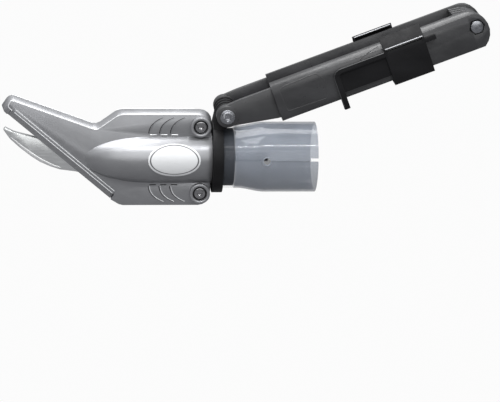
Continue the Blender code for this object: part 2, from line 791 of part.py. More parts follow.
def neck_housing():
    """Flange held between the casings, bearing bore, and the neck that carries ring and sleeve."""
    bore = BEARING_OUTER + GAP
    front_seat, front_stop = bearing_limits(FRONT_BEARING)
    rear_stop = bearing_limits(REAR_BEARING)[0]
    clip_rear = circlip_rear()
    wall_front = HEAD_REAR - REAR_WALL
    profile = [
        (FLANGE_FRONT, bore),
        (FLANGE_FRONT, FLANGE_RADIUS),
        (wall_front - GAP, FLANGE_RADIUS),
        (wall_front - GAP, GROOVE_RADIUS),
        (HEAD_REAR + GAP, GROOVE_RADIUS),
        (HEAD_REAR + GAP, NECK_RADIUS),
        (NECK_REAR, NECK_RADIUS),
        (NECK_REAR, bore),
        (clip_rear + 0.1, bore),
        (clip_rear + 0.1, BEARING_OUTER + 1.3),
        (clip_rear - 1.1, BEARING_OUTER + 1.3),
        (clip_rear - 1.1, bore),
        (rear_stop - GAP, bore),
        (rear_stop - GAP, bore - 2.5),
        (front_stop + GAP, bore - 2.5),
        (front_stop + GAP, bore),
    ]
    return turned(profile, FINE)


def sleeve_radius(x):
    """Outer radius: snug on the neck, swelling to the mouth."""
    start, end = SLEEVE_SWELL
    share = min(1.0, max(0.0, (x - start) / (end - start)))
    eased = share * share * (3 - 2 * share)
    return SLEEVE_NECK_RADIUS + (SLEEVE_RADIUS - SLEEVE_NECK_RADIUS) * eased


def sleeve():
    """The flexible smoke-coloured sleeve with its vent, slit and notch."""
    start, end = SLEEVE_SWELL
    stations = [SLEEVE_FRONT] + [start + (end - start) * k / 4 for k in range(5)] + [SLEEVE_REAR]
    outer = [(x, sleeve_radius(x)) for x in stations]
    inner = [(x, sleeve_radius(x) - SLEEVE_WALL) for x in reversed(stations)]
    solid = turned(outer + inner, FINE)
    deep = (-SLEEVE_RADIUS - 2, -SLEEVE_RADIUS + 6)
    vent = rod(VENT_RADIUS, *deep, (VENT_X, VENT_Z))
    slit = box((VENT_X, SLEEVE_REAR + 1), deep, (VENT_Z - SLIT_WIDTH / 2, VENT_Z + SLIT_WIDTH / 2))
    notch = box((SLEEVE_REAR - NOTCH_LENGTH, SLEEVE_REAR + 1), deep, (VENT_Z, VENT_Z + NOTCH_WIDTH))
    return cut(solid, joined(joined(vent, slit), notch))


# ---------------------------------------------------------------- clamp ring and hinge

def clamp_ring():
    """Ring on the neck with the ribbed hinge lug above it."""
    ring = turned(ring_profile(NECK_RADIUS + GAP, RING_RADIUS, RING_FRONT, RING_REAR), FINE)
    root = (RING_RADIUS - 3.0) * 0.94
    web = [
        (RING_FRONT, root), (RING_REAR, root), (HINGE[0] + KNUCKLE_RADIUS * 0.9, HINGE[1] - 4.0),
        (HINGE[0], HINGE[1]), (HINGE[0] - KNUCKLE_RADIUS * 0.95, HINGE[1] - 2.5),
    ]
    knuckle = rod(KNUCKLE_RADIUS, -LUG_HALF_WIDTH, LUG_HALF_WIDTH, HINGE, ROUND)
    lug = joined(prism(web, -LUG_HALF_WIDTH, LUG_HALF_WIDTH), knuckle)
    pitch = 2 * LUG_HALF_WIDTH / (2 * LUG_RIBS + 1)
    for k in range(LUG_RIBS):
        low = -LUG_HALF_WIDTH + pitch * (2 * k + 1)
        groove = tube(KNUCKLE_RADIUS - LUG_RIB_DEPTH, KNUCKLE_RADIUS + 2, low, low + pitch, HINGE, ROUND)
        upper = box((HINGE[0] - 20, HINGE[0] + 20), (low - 1, low + pitch + 1), (HINGE[1] - 1.0, 80))
        lug = cut(lug, kept(groove, upper))
    inside = turned(disc_profile(NECK_RADIUS + GAP, RING_FRONT - 1, 0), FINE)
    clear = turned(disc_profile(SLEEVE_RADIUS + 1.0, RING_REAR + GAP, 0), FINE)
    hole = rod(HINGE_BOLT_RADIUS + GAP, -40, 40, HINGE)
    return moved(cut(joined(ring, lug), inside, clear, hole), -RING_FRONT)


def tongue():
    """The near inner bar of the telescoping arm, with its hinge knuckle."""
    bar = [
        (0.0, TONGUE_TOP - 0.8, 0.0), (14.0, TONGUE_TOP, 10.0), (TONGUE_LENGTH, TONGUE_TOP, 2.0),
        (TONGUE_LENGTH, TONGUE_BOTTOM, 2.0), (TONGUE_TAPER_END, TONGUE_BOTTOM, 8.0),
        (0.0, -KNUCKLE_RADIUS + 0.2, 0.0),
    ]
    solid = prism(rounded(bar), -TONGUE_INNER, -TONGUE_OUTER)
    knuckle = rod(KNUCKLE_RADIUS, -LUG_HALF_WIDTH - GAP, -KNUCKLE_OUTER, (0, 0), ROUND)
    return cut(joined(solid, knuckle), rod(HINGE_BOLT_RADIUS + GAP, 0, -40))


def hinge_bolt():
    seat = -KNUCKLE_OUTER - GAP - WASHER_THICKNESS - GAP
    head = rod(HINGE_HEAD_RADIUS, seat, seat - HINGE_HEAD_HEIGHT, (0, 0), ROUND)
    shank = rod(HINGE_BOLT_RADIUS, seat - 1, -seat + NUT_HEIGHT + 1)
    key = prism(hexagon(KEY_ACROSS_FLATS), seat - HINGE_HEAD_HEIGHT + 1.8, seat - 9)
    return cut(joined(head, shank), key)


def hinge_nut():
    seat = KNUCKLE_OUTER + GAP + WASHER_THICKNESS + GAP
    body = prism(hexagon(NUT_ACROSS_FLATS), seat, seat + NUT_HEIGHT)
    return cut(body, rod(HINGE_BOLT_RADIUS + GAP, 0, 60))


def hinge_washer():
    """The plain washer under the bolt's head."""
    low = KNUCKLE_OUTER + GAP
    return tube(
        HINGE_BOLT_RADIUS + GAP, HINGE_HEAD_RADIUS + 1.0, -low - WASHER_THICKNESS, -low, sides=ROUND
    )


# ---------------------------------------------------------------- arm shells

def shell_profile(grow=0.0):
    """Cross-section (y, w) of the near shell: a flat inner side and a rounded outer shoulder."""
    points = [(-SHELL_INNER + grow, SHELL_TOP + grow)]
    steps = 6
    for k in range(steps + 1):
        angle = math.pi / 2 * k / steps
        y = SHELL_OUTER - SHOULDER_WIDTH + (SHOULDER_WIDTH + grow) * math.sin(angle)
        w = SHELL_TOP - SHOULDER_DROP + (SHOULDER_DROP + grow) * math.cos(angle)
        points.append((-y, w))
    points += [
        (-SHELL_OUTER - grow, SHELL_BOTTOM + 5.0),
        (-SHELL_OUTER + 1.5 - grow, SHELL_BOTTOM - grow),
        (-SHELL_INNER + grow, SHELL_BOTTOM - grow),
    ]
    return points


def arm_shell():
    """The near outer shell: hollow for the tongue, rounded end, flat for the end bolt."""
    end = SHELL_END_CENTRE[0] + SHELL_END_RADIUS + 1
    solid = prism(shell_profile(), SHELL_START, end, to_yz)
    reach = math.sqrt(SHELL_END_RADIUS**2 - (SHELL_BOTTOM - SHELL_END_CENTRE[1]) ** 2)
    low = -math.acos(reach / SHELL_END_RADIUS)
    steps = 9
    side = [(SHELL_START - 1, SHELL_BOTTOM - 1), (SHELL_START - 1, SHELL_TOP + 0.01)]
    for k in range(steps + 1):
        angle = math.pi / 2 + (low - math.pi / 2) * k / steps
        side.append((
            SHELL_END_CENTRE[0] + SHELL_END_RADIUS * math.cos(angle),
            SHELL_END_CENTRE[1] + SHELL_END_RADIUS * math.sin(angle) + 0.01,
        ))
    side.append((side[-1][0], SHELL_BOTTOM - 1))
    solid = kept(solid, prism(side, -SHELL_OUTER - 2, -SHELL_INNER + 2))
    cavity = box(
        (SHELL_START - 1, SHELL_CAVITY_END),
        (-TONGUE_OUTER - GAP, -TONGUE_INNER + GAP),
        (TONGUE_BOTTOM - GAP, TONGUE_TOP + GAP),
    )
    flat = box((END_FLAT_START, end + 5), (-SHELL_OUTER - 2, -END_FLAT), (-40, 40))
    pocket = prism(hexagon(END_POCKET_FLATS, END_BOLT), -END_FLAT + END_POCKET_DEPTH, -40)
    hole = rod(END_BOLT_RADIUS + GAP, 0, -40, END_BOLT)
    return cut(solid, cavity, flat, pocket, hole)


def end_spacer():
    """Block that ties the two shells together at the free end, with ribs along its top."""
    half = SHELL_INNER - GAP
    top = SHELL_TOP - 0.2
    end_radius = SHELL_END_RADIUS - 1.5
    side = [(SPACER_START, SPACER_BOTTOM), (SPACER_START, top)]
    for k in range(6):
        angle = math.radians(80 - 20 * k)
        side.append((
            SHELL_END_CENTRE[0] + end_radius * math.cos(angle),
            SHELL_END_CENTRE[1] + end_radius * math.sin(angle),
        ))
    side.append((side[-1][0], SPACER_BOTTOM))
    block = prism(side, -half, half)
    for y in (-6.6, 0.0, 6.6):
        block = cut(block, box((SPACER_START - 1, 230), (y - 1.5, y + 1.5), (top - 3.2, 40)))
    return cut(block, rod(END_BOLT_RADIUS + GAP, -40, 40, END_BOLT))


def end_bolt():
    seat = -END_FLAT + END_POCKET_DEPTH - GAP
    head = rod(END_HEAD_RADIUS, seat, seat - END_HEAD_HEIGHT, END_BOLT, ROUND)
    return joined(head, rod(END_BOLT_RADIUS, seat - 1, END_FLAT + 1.0, END_BOLT))


def end_nut():
    seat = END_FLAT - END_POCKET_DEPTH + GAP
    body = prism(hexagon(END_POCKET_FLATS - 2 * GAP, END_BOLT), seat, seat + NUT_HEIGHT)
    return cut(body, rod(END_BOLT_RADIUS + GAP, 0, 60, END_BOLT))


# ---------------------------------------------------------------- strap guides

def guide_block():
    """The channel that hooks round the shell's lower half."""
    inner = SHELL_INNER - GAP - GUIDE_LIP_WALL
    low = SHELL_BOTTOM - GAP
    section = [
        (-GUIDE_OUTER, RAIL_TOP), (-GUIDE_OUTER, GUIDE_BOTTOM), (-inner, GUIDE_BOTTOM),
        (-inner, GUIDE_LIP_TOP), (-SHELL_INNER + GAP, GUIDE_LIP_TOP), (-SHELL_INNER + GAP, low),
        (-SHELL_OUTER + 1.5 - GAP, low), (-SHELL_OUTER - GAP, SHELL_BOTTOM + 5.0),
        (-SHELL_OUTER - GAP, RAIL_TOP),
    ]
    return prism(section, GUIDE_START, GUIDE_START + GUIDE_LENGTH, to_yz)


def guide_bridge():
    """The plate over the shell's shoulder and the two end walls that carry it."""
    foot, top = Vector((-BRIDGE_FOOT[0], BRIDGE_FOOT[1])), Vector((-BRIDGE_TOP[0], BRIDGE_TOP[1]))
    along = (top - foot).normalized()
    inward = Vector((along.y, -along.x)) * BRIDGE_THICKNESS
    plate = [tuple(foot), tuple(top), tuple(top + inward), tuple(foot + inward)]
    end = GUIDE_START + GUIDE_LENGTH
    bridge = prism(plate, GUIDE_START, end, to_yz)
    wall = [(-SHELL_OUTER - GAP, RAIL_BOTTOM), (-GUIDE_OUTER, RAIL_BOTTOM), tuple(foot), tuple(top)]
    wall += shell_profile(GAP)[1:8]
    for start in (GUIDE_START, end - BRIDGE_WALL):
        bridge = joined(bridge, prism(wall, start, start + BRIDGE_WALL, to_yz))
    return bridge


def guide_rail():
    """The bar along the shell that bends down into the finger hook, and the thin side plate."""
    low, high = -SHELL_OUTER - GAP, -GUIDE_OUTER
    middle = HOOK_START + HOOK_WIDTH
    corners = [
        (HOOK_START, HOOK_TIP, 0.5), (HOOK_START, RAIL_TOP, HOOK_BEND_RADIUS),
        (RAIL_END, RAIL_TOP, 0.5), (RAIL_END, RAIL_BOTTOM, 0.5),
        (middle, RAIL_BOTTOM, HOOK_BEND_RADIUS - 3.7), (middle, HOOK_TIP, 0.5),
    ]
    rail = prism(rounded(corners), low, high)
    plate = box((middle - 1, GUIDE_START + 1), (low - SIDE_PLATE_THICKNESS, low),
                (SHELL_BOTTOM + 5.0, RAIL_BOTTOM + 1))
    return joined(rail, plate)


def strap_guide():
    return joined(guide_block(), guide_rail(), guide_bridge())


# ---------------------------------------------------------------- assembly

def clear_scene():
    for item in list(bpy.data.objects):
        bpy.data.objects.remove(item)


def build_head():
    """The fixed head: casings, side blades, neck, bearings' outer races and the sleeve."""
    add_piece("near_casing", near_casing(), "cast_silver")
    add_piece("far_casing", far_casing(), "cast_silver")
    add_piece("near_side_blade", side_blade(), "ground_steel")
    add_piece("far_side_blade", mirrored(side_blade()), "ground_steel")
    for place, centre in zip(("front", "rear"), DOWELS):
        add_piece(f"{place}_blade_dowel", blade_dowel(centre), "bearing_steel")
    add_piece("pivot_pin", rod(PIVOT_RADIUS, -PIVOT_HALF_LENGTH, PIVOT_HALF_LENGTH, PIVOT),
              "bearing_steel")
    for place, centre in zip(("upper", "lower"), boss_centres()):
        add_piece(f"{place}_casing_screw", casing_screw(centre), "black_oxide")
        add_piece(f"{place}_casing_nut", casing_nut(centre), "zinc")
    add_piece("nameplate", nameplate(), "label_grey")
    add_piece("neck_housing", neck_housing(), "black_nylon")
    add_piece("front_outer_race", outer_race(FRONT_BEARING), "bearing_steel")
    add_piece("rear_outer_race", outer_race(REAR_BEARING), "bearing_steel")
    add_piece("bearing_circlip", circlip(), "black_oxide")
    add_piece("shaft_seal", shaft_seal(), "black_rubber")
    add_piece("sleeve", sleeve(), "smoke_vinyl")


def build_drive():
    """Everything that turns with the drill."""
    axis = axis_frame("drive_axis")
    add_piece("drive_shaft", drive_shaft(), "bearing_steel", axis)
    add_piece("crank_roller", crank_roller(), "bearing_steel", axis)
    add_piece("crank_clip", crank_clip(), "black_oxide", axis)
    add_piece("front_inner_race", inner_race(FRONT_BEARING), "bearing_steel", axis)
    add_piece("rear_inner_race", inner_race(REAR_BEARING), "bearing_steel", axis)
    add_piece("front_ball_cage", ball_cage(FRONT_BEARING), "bearing_steel", axis)
    add_piece("rear_ball_cage", ball_cage(REAR_BEARING), "bearing_steel", axis)
    add_piece("bearing_spacer", bearing_spacer(), "bearing_steel", axis)


def build_blade():
    """The moving centre blade and its bush, on the pivot's axis."""
    axis = axis_frame("blade_axis", (PIVOT[0], 0.0, PIVOT[1]))
    for name, bm, finish in (
        ("centre_blade", centre_blade(), "blade_steel"),
        ("pivot_bush", pivot_bush(), "bronze"),
    ):
        add_piece(name, moved(bm, -PIVOT[0], 0.0, -PIVOT[1]), finish, axis)


def build_arm():
    """Swivelling ring, tilting tongues, sliding shells and the strap guides on them."""
    swivel = axis_frame("swivel_axis", (RING_FRONT, 0.0, 0.0))
    add_piece("clamp_ring", clamp_ring(), "black_nylon", swivel)
    hinge = (HINGE[0] - RING_FRONT, 0.0, HINGE[1])
    tilt = axis_frame("tilt_axis", hinge, ARM_ANGLE, swivel)
    add_piece("near_tongue", tongue(), "black_nylon", tilt)
    add_piece("far_tongue", mirrored(tongue()), "black_nylon", tilt)
    add_piece("hinge_bolt", hinge_bolt(), "zinc", tilt)
    add_piece("hinge_nut", hinge_nut(), "zinc", tilt)
    add_piece("near_hinge_washer", hinge_washer(), "zinc", tilt)
    add_piece("far_hinge_washer", mirrored(hinge_washer()), "zinc", tilt)
    slide = axis_frame("slide_axis", parent=tilt)
    add_piece("near_arm_shell", arm_shell(), "black_nylon", slide)
    add_piece("far_arm_shell", mirrored(arm_shell()), "black_nylon", slide)
    add_piece("end_spacer", end_spacer(), "black_nylon", slide)
    add_piece("end_bolt", end_bolt(), "zinc", slide)
    add_piece("end_nut", end_nut(), "zinc", slide)
    near = axis_frame("near_guide_axis", parent=slide)
    add_piece("near_strap_guide", strap_guide(), "black_nylon", near)
    far = axis_frame("far_guide_axis", (FAR_GUIDE_SHIFT, 0.0, 0.0), parent=slide)
    add_piece("far_strap_guide", mirrored(strap_guide()), "black_nylon", far)


def main():
    clear_scene()
    build_head()
    build_drive()
    build_blade()
    build_arm()


main()
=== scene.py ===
"""Looks of the drill-powered shear head: finishes, refined surfaces and surface detail.

Lengths in the sub-assemblies' fields are in millimetres and are scaled by MM where a mesh is
made. Those of the studio, and the depths of relief in the finishes, are in metres. The frame
has +X along the drive axis towards the drill, +Z up, and the near side at -Y.
"""

import json
import logging
import math
from dataclasses import dataclass, field
from enum import Enum
from typing import Iterable, Sequence

import bmesh
import bpy
from mathutils import Matrix, Vector
from mathutils.bvhtree import BVHTree

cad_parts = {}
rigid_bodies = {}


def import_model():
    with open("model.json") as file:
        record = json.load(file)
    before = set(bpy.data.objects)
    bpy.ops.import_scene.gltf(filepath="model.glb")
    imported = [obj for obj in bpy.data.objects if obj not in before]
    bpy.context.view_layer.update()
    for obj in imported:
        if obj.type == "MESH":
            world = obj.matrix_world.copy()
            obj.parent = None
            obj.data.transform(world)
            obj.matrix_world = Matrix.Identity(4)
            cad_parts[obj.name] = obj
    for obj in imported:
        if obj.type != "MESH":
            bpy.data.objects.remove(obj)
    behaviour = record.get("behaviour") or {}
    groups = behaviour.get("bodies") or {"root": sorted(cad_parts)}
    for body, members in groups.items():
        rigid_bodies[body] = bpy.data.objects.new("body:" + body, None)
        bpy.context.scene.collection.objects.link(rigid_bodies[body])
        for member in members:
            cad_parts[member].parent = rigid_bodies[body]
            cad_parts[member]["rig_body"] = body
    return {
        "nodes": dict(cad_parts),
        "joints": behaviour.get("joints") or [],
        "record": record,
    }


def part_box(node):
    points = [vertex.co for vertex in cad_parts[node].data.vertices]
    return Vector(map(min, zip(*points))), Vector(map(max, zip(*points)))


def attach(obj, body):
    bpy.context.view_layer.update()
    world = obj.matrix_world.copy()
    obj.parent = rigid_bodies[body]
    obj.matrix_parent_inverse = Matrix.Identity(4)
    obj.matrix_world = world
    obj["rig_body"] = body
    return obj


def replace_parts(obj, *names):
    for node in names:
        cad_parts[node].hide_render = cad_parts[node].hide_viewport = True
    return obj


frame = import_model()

MM = 0.001
WELD = 1e-7
SHARP_ANGLE = math.radians(34.0)
FACET_ANGLE = math.radians(0.6)
SOFTENED_ANGLE = math.radians(38.0)
ALONG_X = (0.0, math.pi / 2, 0.0)
ALONG_Y = (math.pi / 2, 0.0, 0.0)
LOG = logging.getLogger("shear_head")

Colour = tuple[float, float, float]
Point2 = tuple[float, float]
Material = bpy.types.Material
Piece = bpy.types.Object
Socket = bpy.types.NodeSocket


class Choice(Enum):
    """A choice whose name is part of a piece's name."""

    @property
    def word(self) -> str:
        """The choice as it is written in a piece's name."""
        return self.name.lower()


class Side(Choice):
    """Which side of the head's middle plane a detail lies on."""

    NEAR = -1.0
    FAR = 1.0


class Vertical(Choice):
    """Whether a detail lies above or below the drive axis."""

    UPPER = 1.0
    LOWER = -1.0


# ------------------------------------------------------------------ nodes


class Nodes:
    """A short way to write a tree of nodes."""

    def __init__(self, tree: bpy.types.NodeTree) -> None:
        """Keeps the tree that the nodes go into."""
        self.tree = tree

    def node(self, kind: str, **settings: object) -> bpy.types.Node:
        """Adds a node and sets its properties.

        Args:
            kind: The node's type name.
            **settings: Properties of the node.

        Returns:
            The new node.
        """
        made = self.tree.nodes.new(kind)
        for key, value in settings.items():
            setattr(made, key, value)
        return made

    def fill(self, node: bpy.types.Node, **values: object) -> bpy.types.Node:
        """Sets uniform values on a node's inputs.

        Args:
            node: The node.
            **values: The values, with underscores for the spaces in the inputs' names.

        Returns:
            The node.
        """
        for key, value in values.items():
            node.inputs[key.replace("_", " ")].default_value = value
        return node

    def link(self, source: Socket, target: Socket) -> None:
        """Joins two sockets."""
        self.tree.links.new(source, target)

    def ranged(self, value: Socket, low: float, high: float, start: float = 0.3,
               end: float = 0.7, way: str = "LINEAR") -> Socket:
        """Maps a factor from start..end to low..high.

        Args:
            value: The factor.
            low: Result at start.
            high: Result at end.
            start: Lower end of the factor.
            end: Upper end of the factor.
            way: How it goes from one end to the other.

        Returns:
            The mapped value's socket.
        """
        made = self.node("ShaderNodeMapRange", interpolation_type=way)
        self.fill(made, From_Min=start, From_Max=end, To_Min=low, To_Max=high)
        self.link(value, made.inputs["Value"])
        return made.outputs["Result"]

    def seen_as(self, lit: Socket, seen: Socket) -> Socket:
        """One shader for the light that a surface throws and another for what is seen of it.

        Args:
            lit: The shader that lights the head.
            seen: The shader that is seen directly.

        Returns:
            The mixed shader's socket.
        """
        path = self.node("ShaderNodeLightPath")
        choice = self.node("ShaderNodeMixShader")
        self.link(path.outputs["Is Camera Ray"], choice.inputs["Fac"])
        self.link(lit, choice.inputs[1])
        self.link(seen, choice.inputs[2])
        return choice.outputs["Shader"]


class Graph(Nodes):
    """A material's nodes, round a Principled shader."""

    def __init__(self, name: str) -> None:
        """Starts the material.

        Args:
            name: The material's name.
        """
        self.material = bpy.data.materials.new(name)
        self.material.use_nodes = True
        super().__init__(self.material.node_tree)
        self.shader = self.tree.nodes["Principled BSDF"]
        self.place = self.node("ShaderNodeTexCoord").outputs["Object"]

    def stretched(self, scale: Sequence[float], turn: float = 0.0) -> Socket:
        """Object coordinates stretched and turned about Y.

        Args:
            scale: Factors along X, Y and Z.
            turn: Angle about Y, in radians.

        Returns:
            The vector socket.
        """
        mapping = self.fill(self.node("ShaderNodeMapping"), Scale=tuple(scale),
                            Rotation=(0.0, turn, 0.0))
        self.link(self.place, mapping.inputs["Vector"])
        return mapping.outputs["Vector"]

    def noise(self, scale: float, detail: float = 4.0, rough: float = 0.55,
              vector: Socket | None = None) -> Socket:
        """A noise texture.

        Args:
            scale: Features per metre.
            detail: Octaves.
            rough: Strength of the finer octaves.
            vector: Coordinates, or None for Object coordinates.

        Returns:
            The factor socket.
        """
        made = self.fill(self.node("ShaderNodeTexNoise"), Scale=scale, Detail=detail,
                         Roughness=rough)
        self.link(vector or self.place, made.inputs["Vector"])
        return made.outputs["Fac"]

    def coloured(self, factor: Socket, colour: Colour, dark: float, light: float) -> None:
        """Varies the shader's colour between two tints.

        Args:
            factor: Where each tint lies.
            colour: The colour.
            dark: Factor of the first tint.
            light: Factor of the second tint.
        """
        made = self.node("ShaderNodeMix", data_type="RGBA")
        made.inputs[6].default_value = (*tinted(colour, dark), 1.0)
        made.inputs[7].default_value = (*tinted(colour, light), 1.0)
        self.link(self.ranged(factor, 0.0, 1.0), made.inputs[0])
        self.link(made.outputs[2], self.shader.inputs["Base Color"])

    def roughened(self, factor: Socket, middle: float, below: float, above: float) -> None:
        """Varies the shader's roughness from a little below its middle to a little above."""
        self.link(self.ranged(factor, middle - below, middle + above),
                  self.shader.inputs["Roughness"])

    def bumped(self, layers: Iterable[tuple[Socket, float]]) -> None:
        """Adds relief to the shader from several heights.

        Args:
            layers: Pairs of a height socket and its depth in metres.
        """
        normal = None
        for height, depth in layers:
            bump = self.fill(self.node("ShaderNodeBump"), Strength=1.0, Distance=depth)
            self.link(height, bump.inputs["Height"])
            if normal is not None:
                self.link(normal, bump.inputs["Normal"])
            normal = bump.outputs["Normal"]
        if normal is not None:
            self.link(normal, self.shader.inputs["Normal"])


def tinted(colour: Colour, factor: float) -> Colour:
    """A colour made lighter or darker."""
    return tuple(min(1.0, channel * factor) for channel in colour)  # type: ignore[return-value]


# ------------------------------------------------------------------ finishes


@dataclass(frozen=True)
class CastAlloy:
    """Satin alloy casting with a fine skin and a slow mottle."""

    name: str = "satin_casting"
    colour: Colour = (0.315, 0.319, 0.331)
    metallic: float = 0.7
    roughness: float = 0.33
    mottle_scale: float = 55.0
    patch_scale: float = 210.0
    ripple_scale: float = 420.0
    ripple_depth: float = 0.000012
    skin_scale: float = 3200.0
    skin_depth: float = 0.00001

    def build(self) -> Material:
        """Makes the material.

        Returns:
            The material.
        """
        graph = Graph(self.name)
        graph.coloured(graph.noise(self.mottle_scale, 3.0), self.colour, dark=0.94, light=1.06)
        graph.roughened(graph.noise(self.patch_scale, 5.0), self.roughness, below=0.05, above=0.07)
        graph.fill(graph.shader, Metallic=self.metallic)
        graph.bumped([(graph.noise(self.skin_scale, 3.0, 0.6), self.skin_depth),
                      (graph.noise(self.ripple_scale, 2.0), self.ripple_depth)])
        return graph.material


@dataclass(frozen=True)
class GroundSteel:
    """Steel with grinding lines along one direction."""

    name: str
    colour: Colour
    roughness: float
    lines_turn: float = 0.0
    line_depth: float = 0.00001
    scratched: bool = False
    line_scale: tuple[float, float, float] = (60.0, 900.0, 2600.0)
    stain_scale: float = 90.0
    scratch_scale: tuple[float, float, float] = (2300.0, 400.0, 120.0)
    scratch_turn: float = 0.75
    scratch_span: Point2 = (0.66, 0.74)
    scratch_depth: float = 0.00004

    def build(self) -> Material:
        """Makes the material.

        Returns:
            The material.
        """
        graph = Graph(self.name)
        lines = graph.noise(1.0, 6.0, 0.6, graph.stretched(self.line_scale, self.lines_turn))
        graph.coloured(lines, self.colour, dark=0.82, light=1.12)
        graph.roughened(graph.noise(self.stain_scale, 5.0), self.roughness, below=0.06, above=0.1)
        graph.fill(graph.shader, Metallic=1.0)
        layers = [(lines, self.line_depth)]
        if self.scratched:
            marks = graph.noise(1.0, 2.0, 0.5, graph.stretched(self.scratch_scale, self.scratch_turn))
            layers.append((graph.ranged(marks, 0.0, 1.0, *self.scratch_span), self.scratch_depth))
        graph.bumped(layers)
        return graph.material


@dataclass(frozen=True)
class MouldedNylon:
    """Black moulded plastic with a fine spark-eroded grain and faint flow marks."""

    name: str = "moulded_nylon"
    colour: Colour = (0.029, 0.0293, 0.031)
    roughness: float = 0.34
    gloss: float = 0.62
    flow_scale: tuple[float, float, float] = (18.0, 60.0, 60.0)
    flow_turn: float = math.radians(21.0)
    patch_scale: float = 120.0
    grain_scale: float = 2600.0
    grain_depth: float = 0.000012
    sink_scale: float = 150.0
    sink_depth: float = 0.00008

    def build(self) -> Material:
        """Makes the material.

        Returns:
            The material.
        """
        graph = Graph(self.name)
        flow = graph.noise(1.0, 3.0, 0.5, graph.stretched(self.flow_scale, self.flow_turn))
        graph.coloured(flow, self.colour, dark=0.75, light=1.5)
        graph.roughened(graph.noise(self.patch_scale, 5.0, 0.65), self.roughness, below=0.08,
                        above=0.14)
        graph.fill(graph.shader, Specular_IOR_Level=self.gloss)
        graph.bumped([(graph.noise(self.grain_scale, 4.0, 0.7), self.grain_depth),
                      (graph.noise(self.sink_scale, 3.0), self.sink_depth)])
        return graph.material


@dataclass(frozen=True)
class SmokeVinyl:
    """Clear flexible plastic with a smoky blue tint, clearer where it grips the neck.

    The end of the grip and the lengths of the change there are in millimetres along X.
    """

    name: str = "smoke_vinyl"
    colour: Colour = (0.24, 0.268, 0.315)
    roughness: float = 0.14
    gloss: float = 0.28
    coat: float = 0.45
    alpha: float = 0.54
    gripped_alpha: float = 0.1
    grip_end: float = -27.6
    change: Point2 = (-0.5, 0.7)
    cloud_scale: float = 70.0
    film_scale: float = 300.0
    wave_scale: tuple[float, float, float] = (14.0, 24.0, 24.0)
    wave_depth: float = 0.00008

    def build(self) -> Material:
        """Makes the material.

        Returns:
            The material.
        """
        graph = Graph(self.name)
        graph.coloured(graph.noise(self.cloud_scale, 3.0), self.colour, dark=0.92, light=1.1)
        graph.roughened(graph.noise(self.film_scale, 3.0), self.roughness, below=0.03, above=0.06)
        split = graph.node("ShaderNodeSeparateXYZ")
        graph.link(graph.place, split.inputs["Vector"])
        start, end = ((self.grip_end + shift) * MM for shift in self.change)
        graph.link(graph.ranged(split.outputs["X"], self.gripped_alpha, self.alpha, start, end),
                   graph.shader.inputs["Alpha"])
        graph.fill(graph.shader, Specular_IOR_Level=self.gloss, Coat_Weight=self.coat)
        graph.bumped([(graph.noise(1.0, 1.0, 0.3, graph.stretched(self.wave_scale)),
                       self.wave_depth)])
        return graph.material


@dataclass(frozen=True)
class PlainMetal:
    """A small turned or plated metal piece, or a smooth plain edge."""

    name: str
    colour: Colour
    roughness: float
    metallic: float = 1.0
    film_scale: float = 500.0
    grain_scale: float = 1900.0
    grain_depth: float = 0.000008

    def build(self) -> Material:
        """Makes the material.

        Returns:
            The material.
        """
        graph = Graph(self.name)
        film = graph.noise(self.film_scale, 4.0)
        graph.coloured(film, self.colour, dark=0.86, light=1.1)
        graph.roughened(film, self.roughness, below=0.04, above=0.1)
        graph.fill(graph.shader, Metallic=self.metallic)
        graph.bumped([(graph.noise(self.grain_scale, 2.0), self.grain_depth)])
        return graph.material


@dataclass(frozen=True)
class SoftRubber:
    """Matt black rubber."""

    name: str = "seal_rubber"
    colour: Colour = (0.012, 0.012, 0.012)
    roughness: float = 0.8
    dust_scale: float = 700.0
    dust_depth: float = 0.00003

    def build(self) -> Material:
        """Makes the material.

        Returns:
            The material.
        """
        graph = Graph(self.name)
        dust = graph.noise(self.dust_scale, 5.0)
        graph.coloured(dust, self.colour, dark=1.0, light=1.8)
        graph.fill(graph.shader, Roughness=self.roughness)
        graph.bumped([(dust, self.dust_depth)])
        return graph.material


@dataclass(frozen=True)
class BlankLabel:
    """A blank pale plate with a printed grey border near its rim.

    The centre and the half sizes are in millimetres, and the border's are shares of the half sizes.
    """

    name: str = "blank_label"
    face: Colour = (0.72, 0.73, 0.74)
    border: Colour = (0.09, 0.09, 0.1)
    centre: Point2 = (-75.6, 2.6)
    half: Point2 = (20.8, 12.6)
    border_span: Point2 = (0.89, 0.925)
    border_fade: float = 0.015
    roughness: float = 0.26
    film_scale: float = 400.0
    grain_scale: float = 1500.0
    grain_depth: float = 0.000008

    def build(self) -> Material:
        """Makes the material.

        Returns:
            The material.
        """
        graph = Graph(self.name)
        mapping = graph.fill(
            graph.node("ShaderNodeMapping"),
            Location=(-self.centre[0] / self.half[0], 0.0, -self.centre[1] / self.half[1]),
            Scale=(1 / (self.half[0] * MM), 0.0, 1 / (self.half[1] * MM)))
        graph.link(graph.place, mapping.inputs["Vector"])
        length = graph.node("ShaderNodeVectorMath", operation="LENGTH")
        graph.link(mapping.outputs["Vector"], length.inputs[0])
        ramp = graph.node("ShaderNodeValToRGB")
        stops = ramp.color_ramp.elements
        for stop, position in zip(stops, (0.0, 1.0)):
            stop.position, stop.color = position, (*self.face, 1.0)
        inner, outer = self.border_span
        for place, colour in ((inner - self.border_fade, self.face), (inner, self.border),
                              (outer, self.border), (outer + self.border_fade, self.face)):
            stops.new(place).color = (*colour, 1.0)
        graph.link(length.outputs["Value"], ramp.inputs["Fac"])
        graph.link(ramp.outputs["Color"], graph.shader.inputs["Base Color"])
        graph.roughened(graph.noise(self.film_scale), self.roughness, below=0.0, above=0.14)
        graph.bumped([(graph.noise(self.grain_scale, 2.0), self.grain_depth)])
        return graph.material


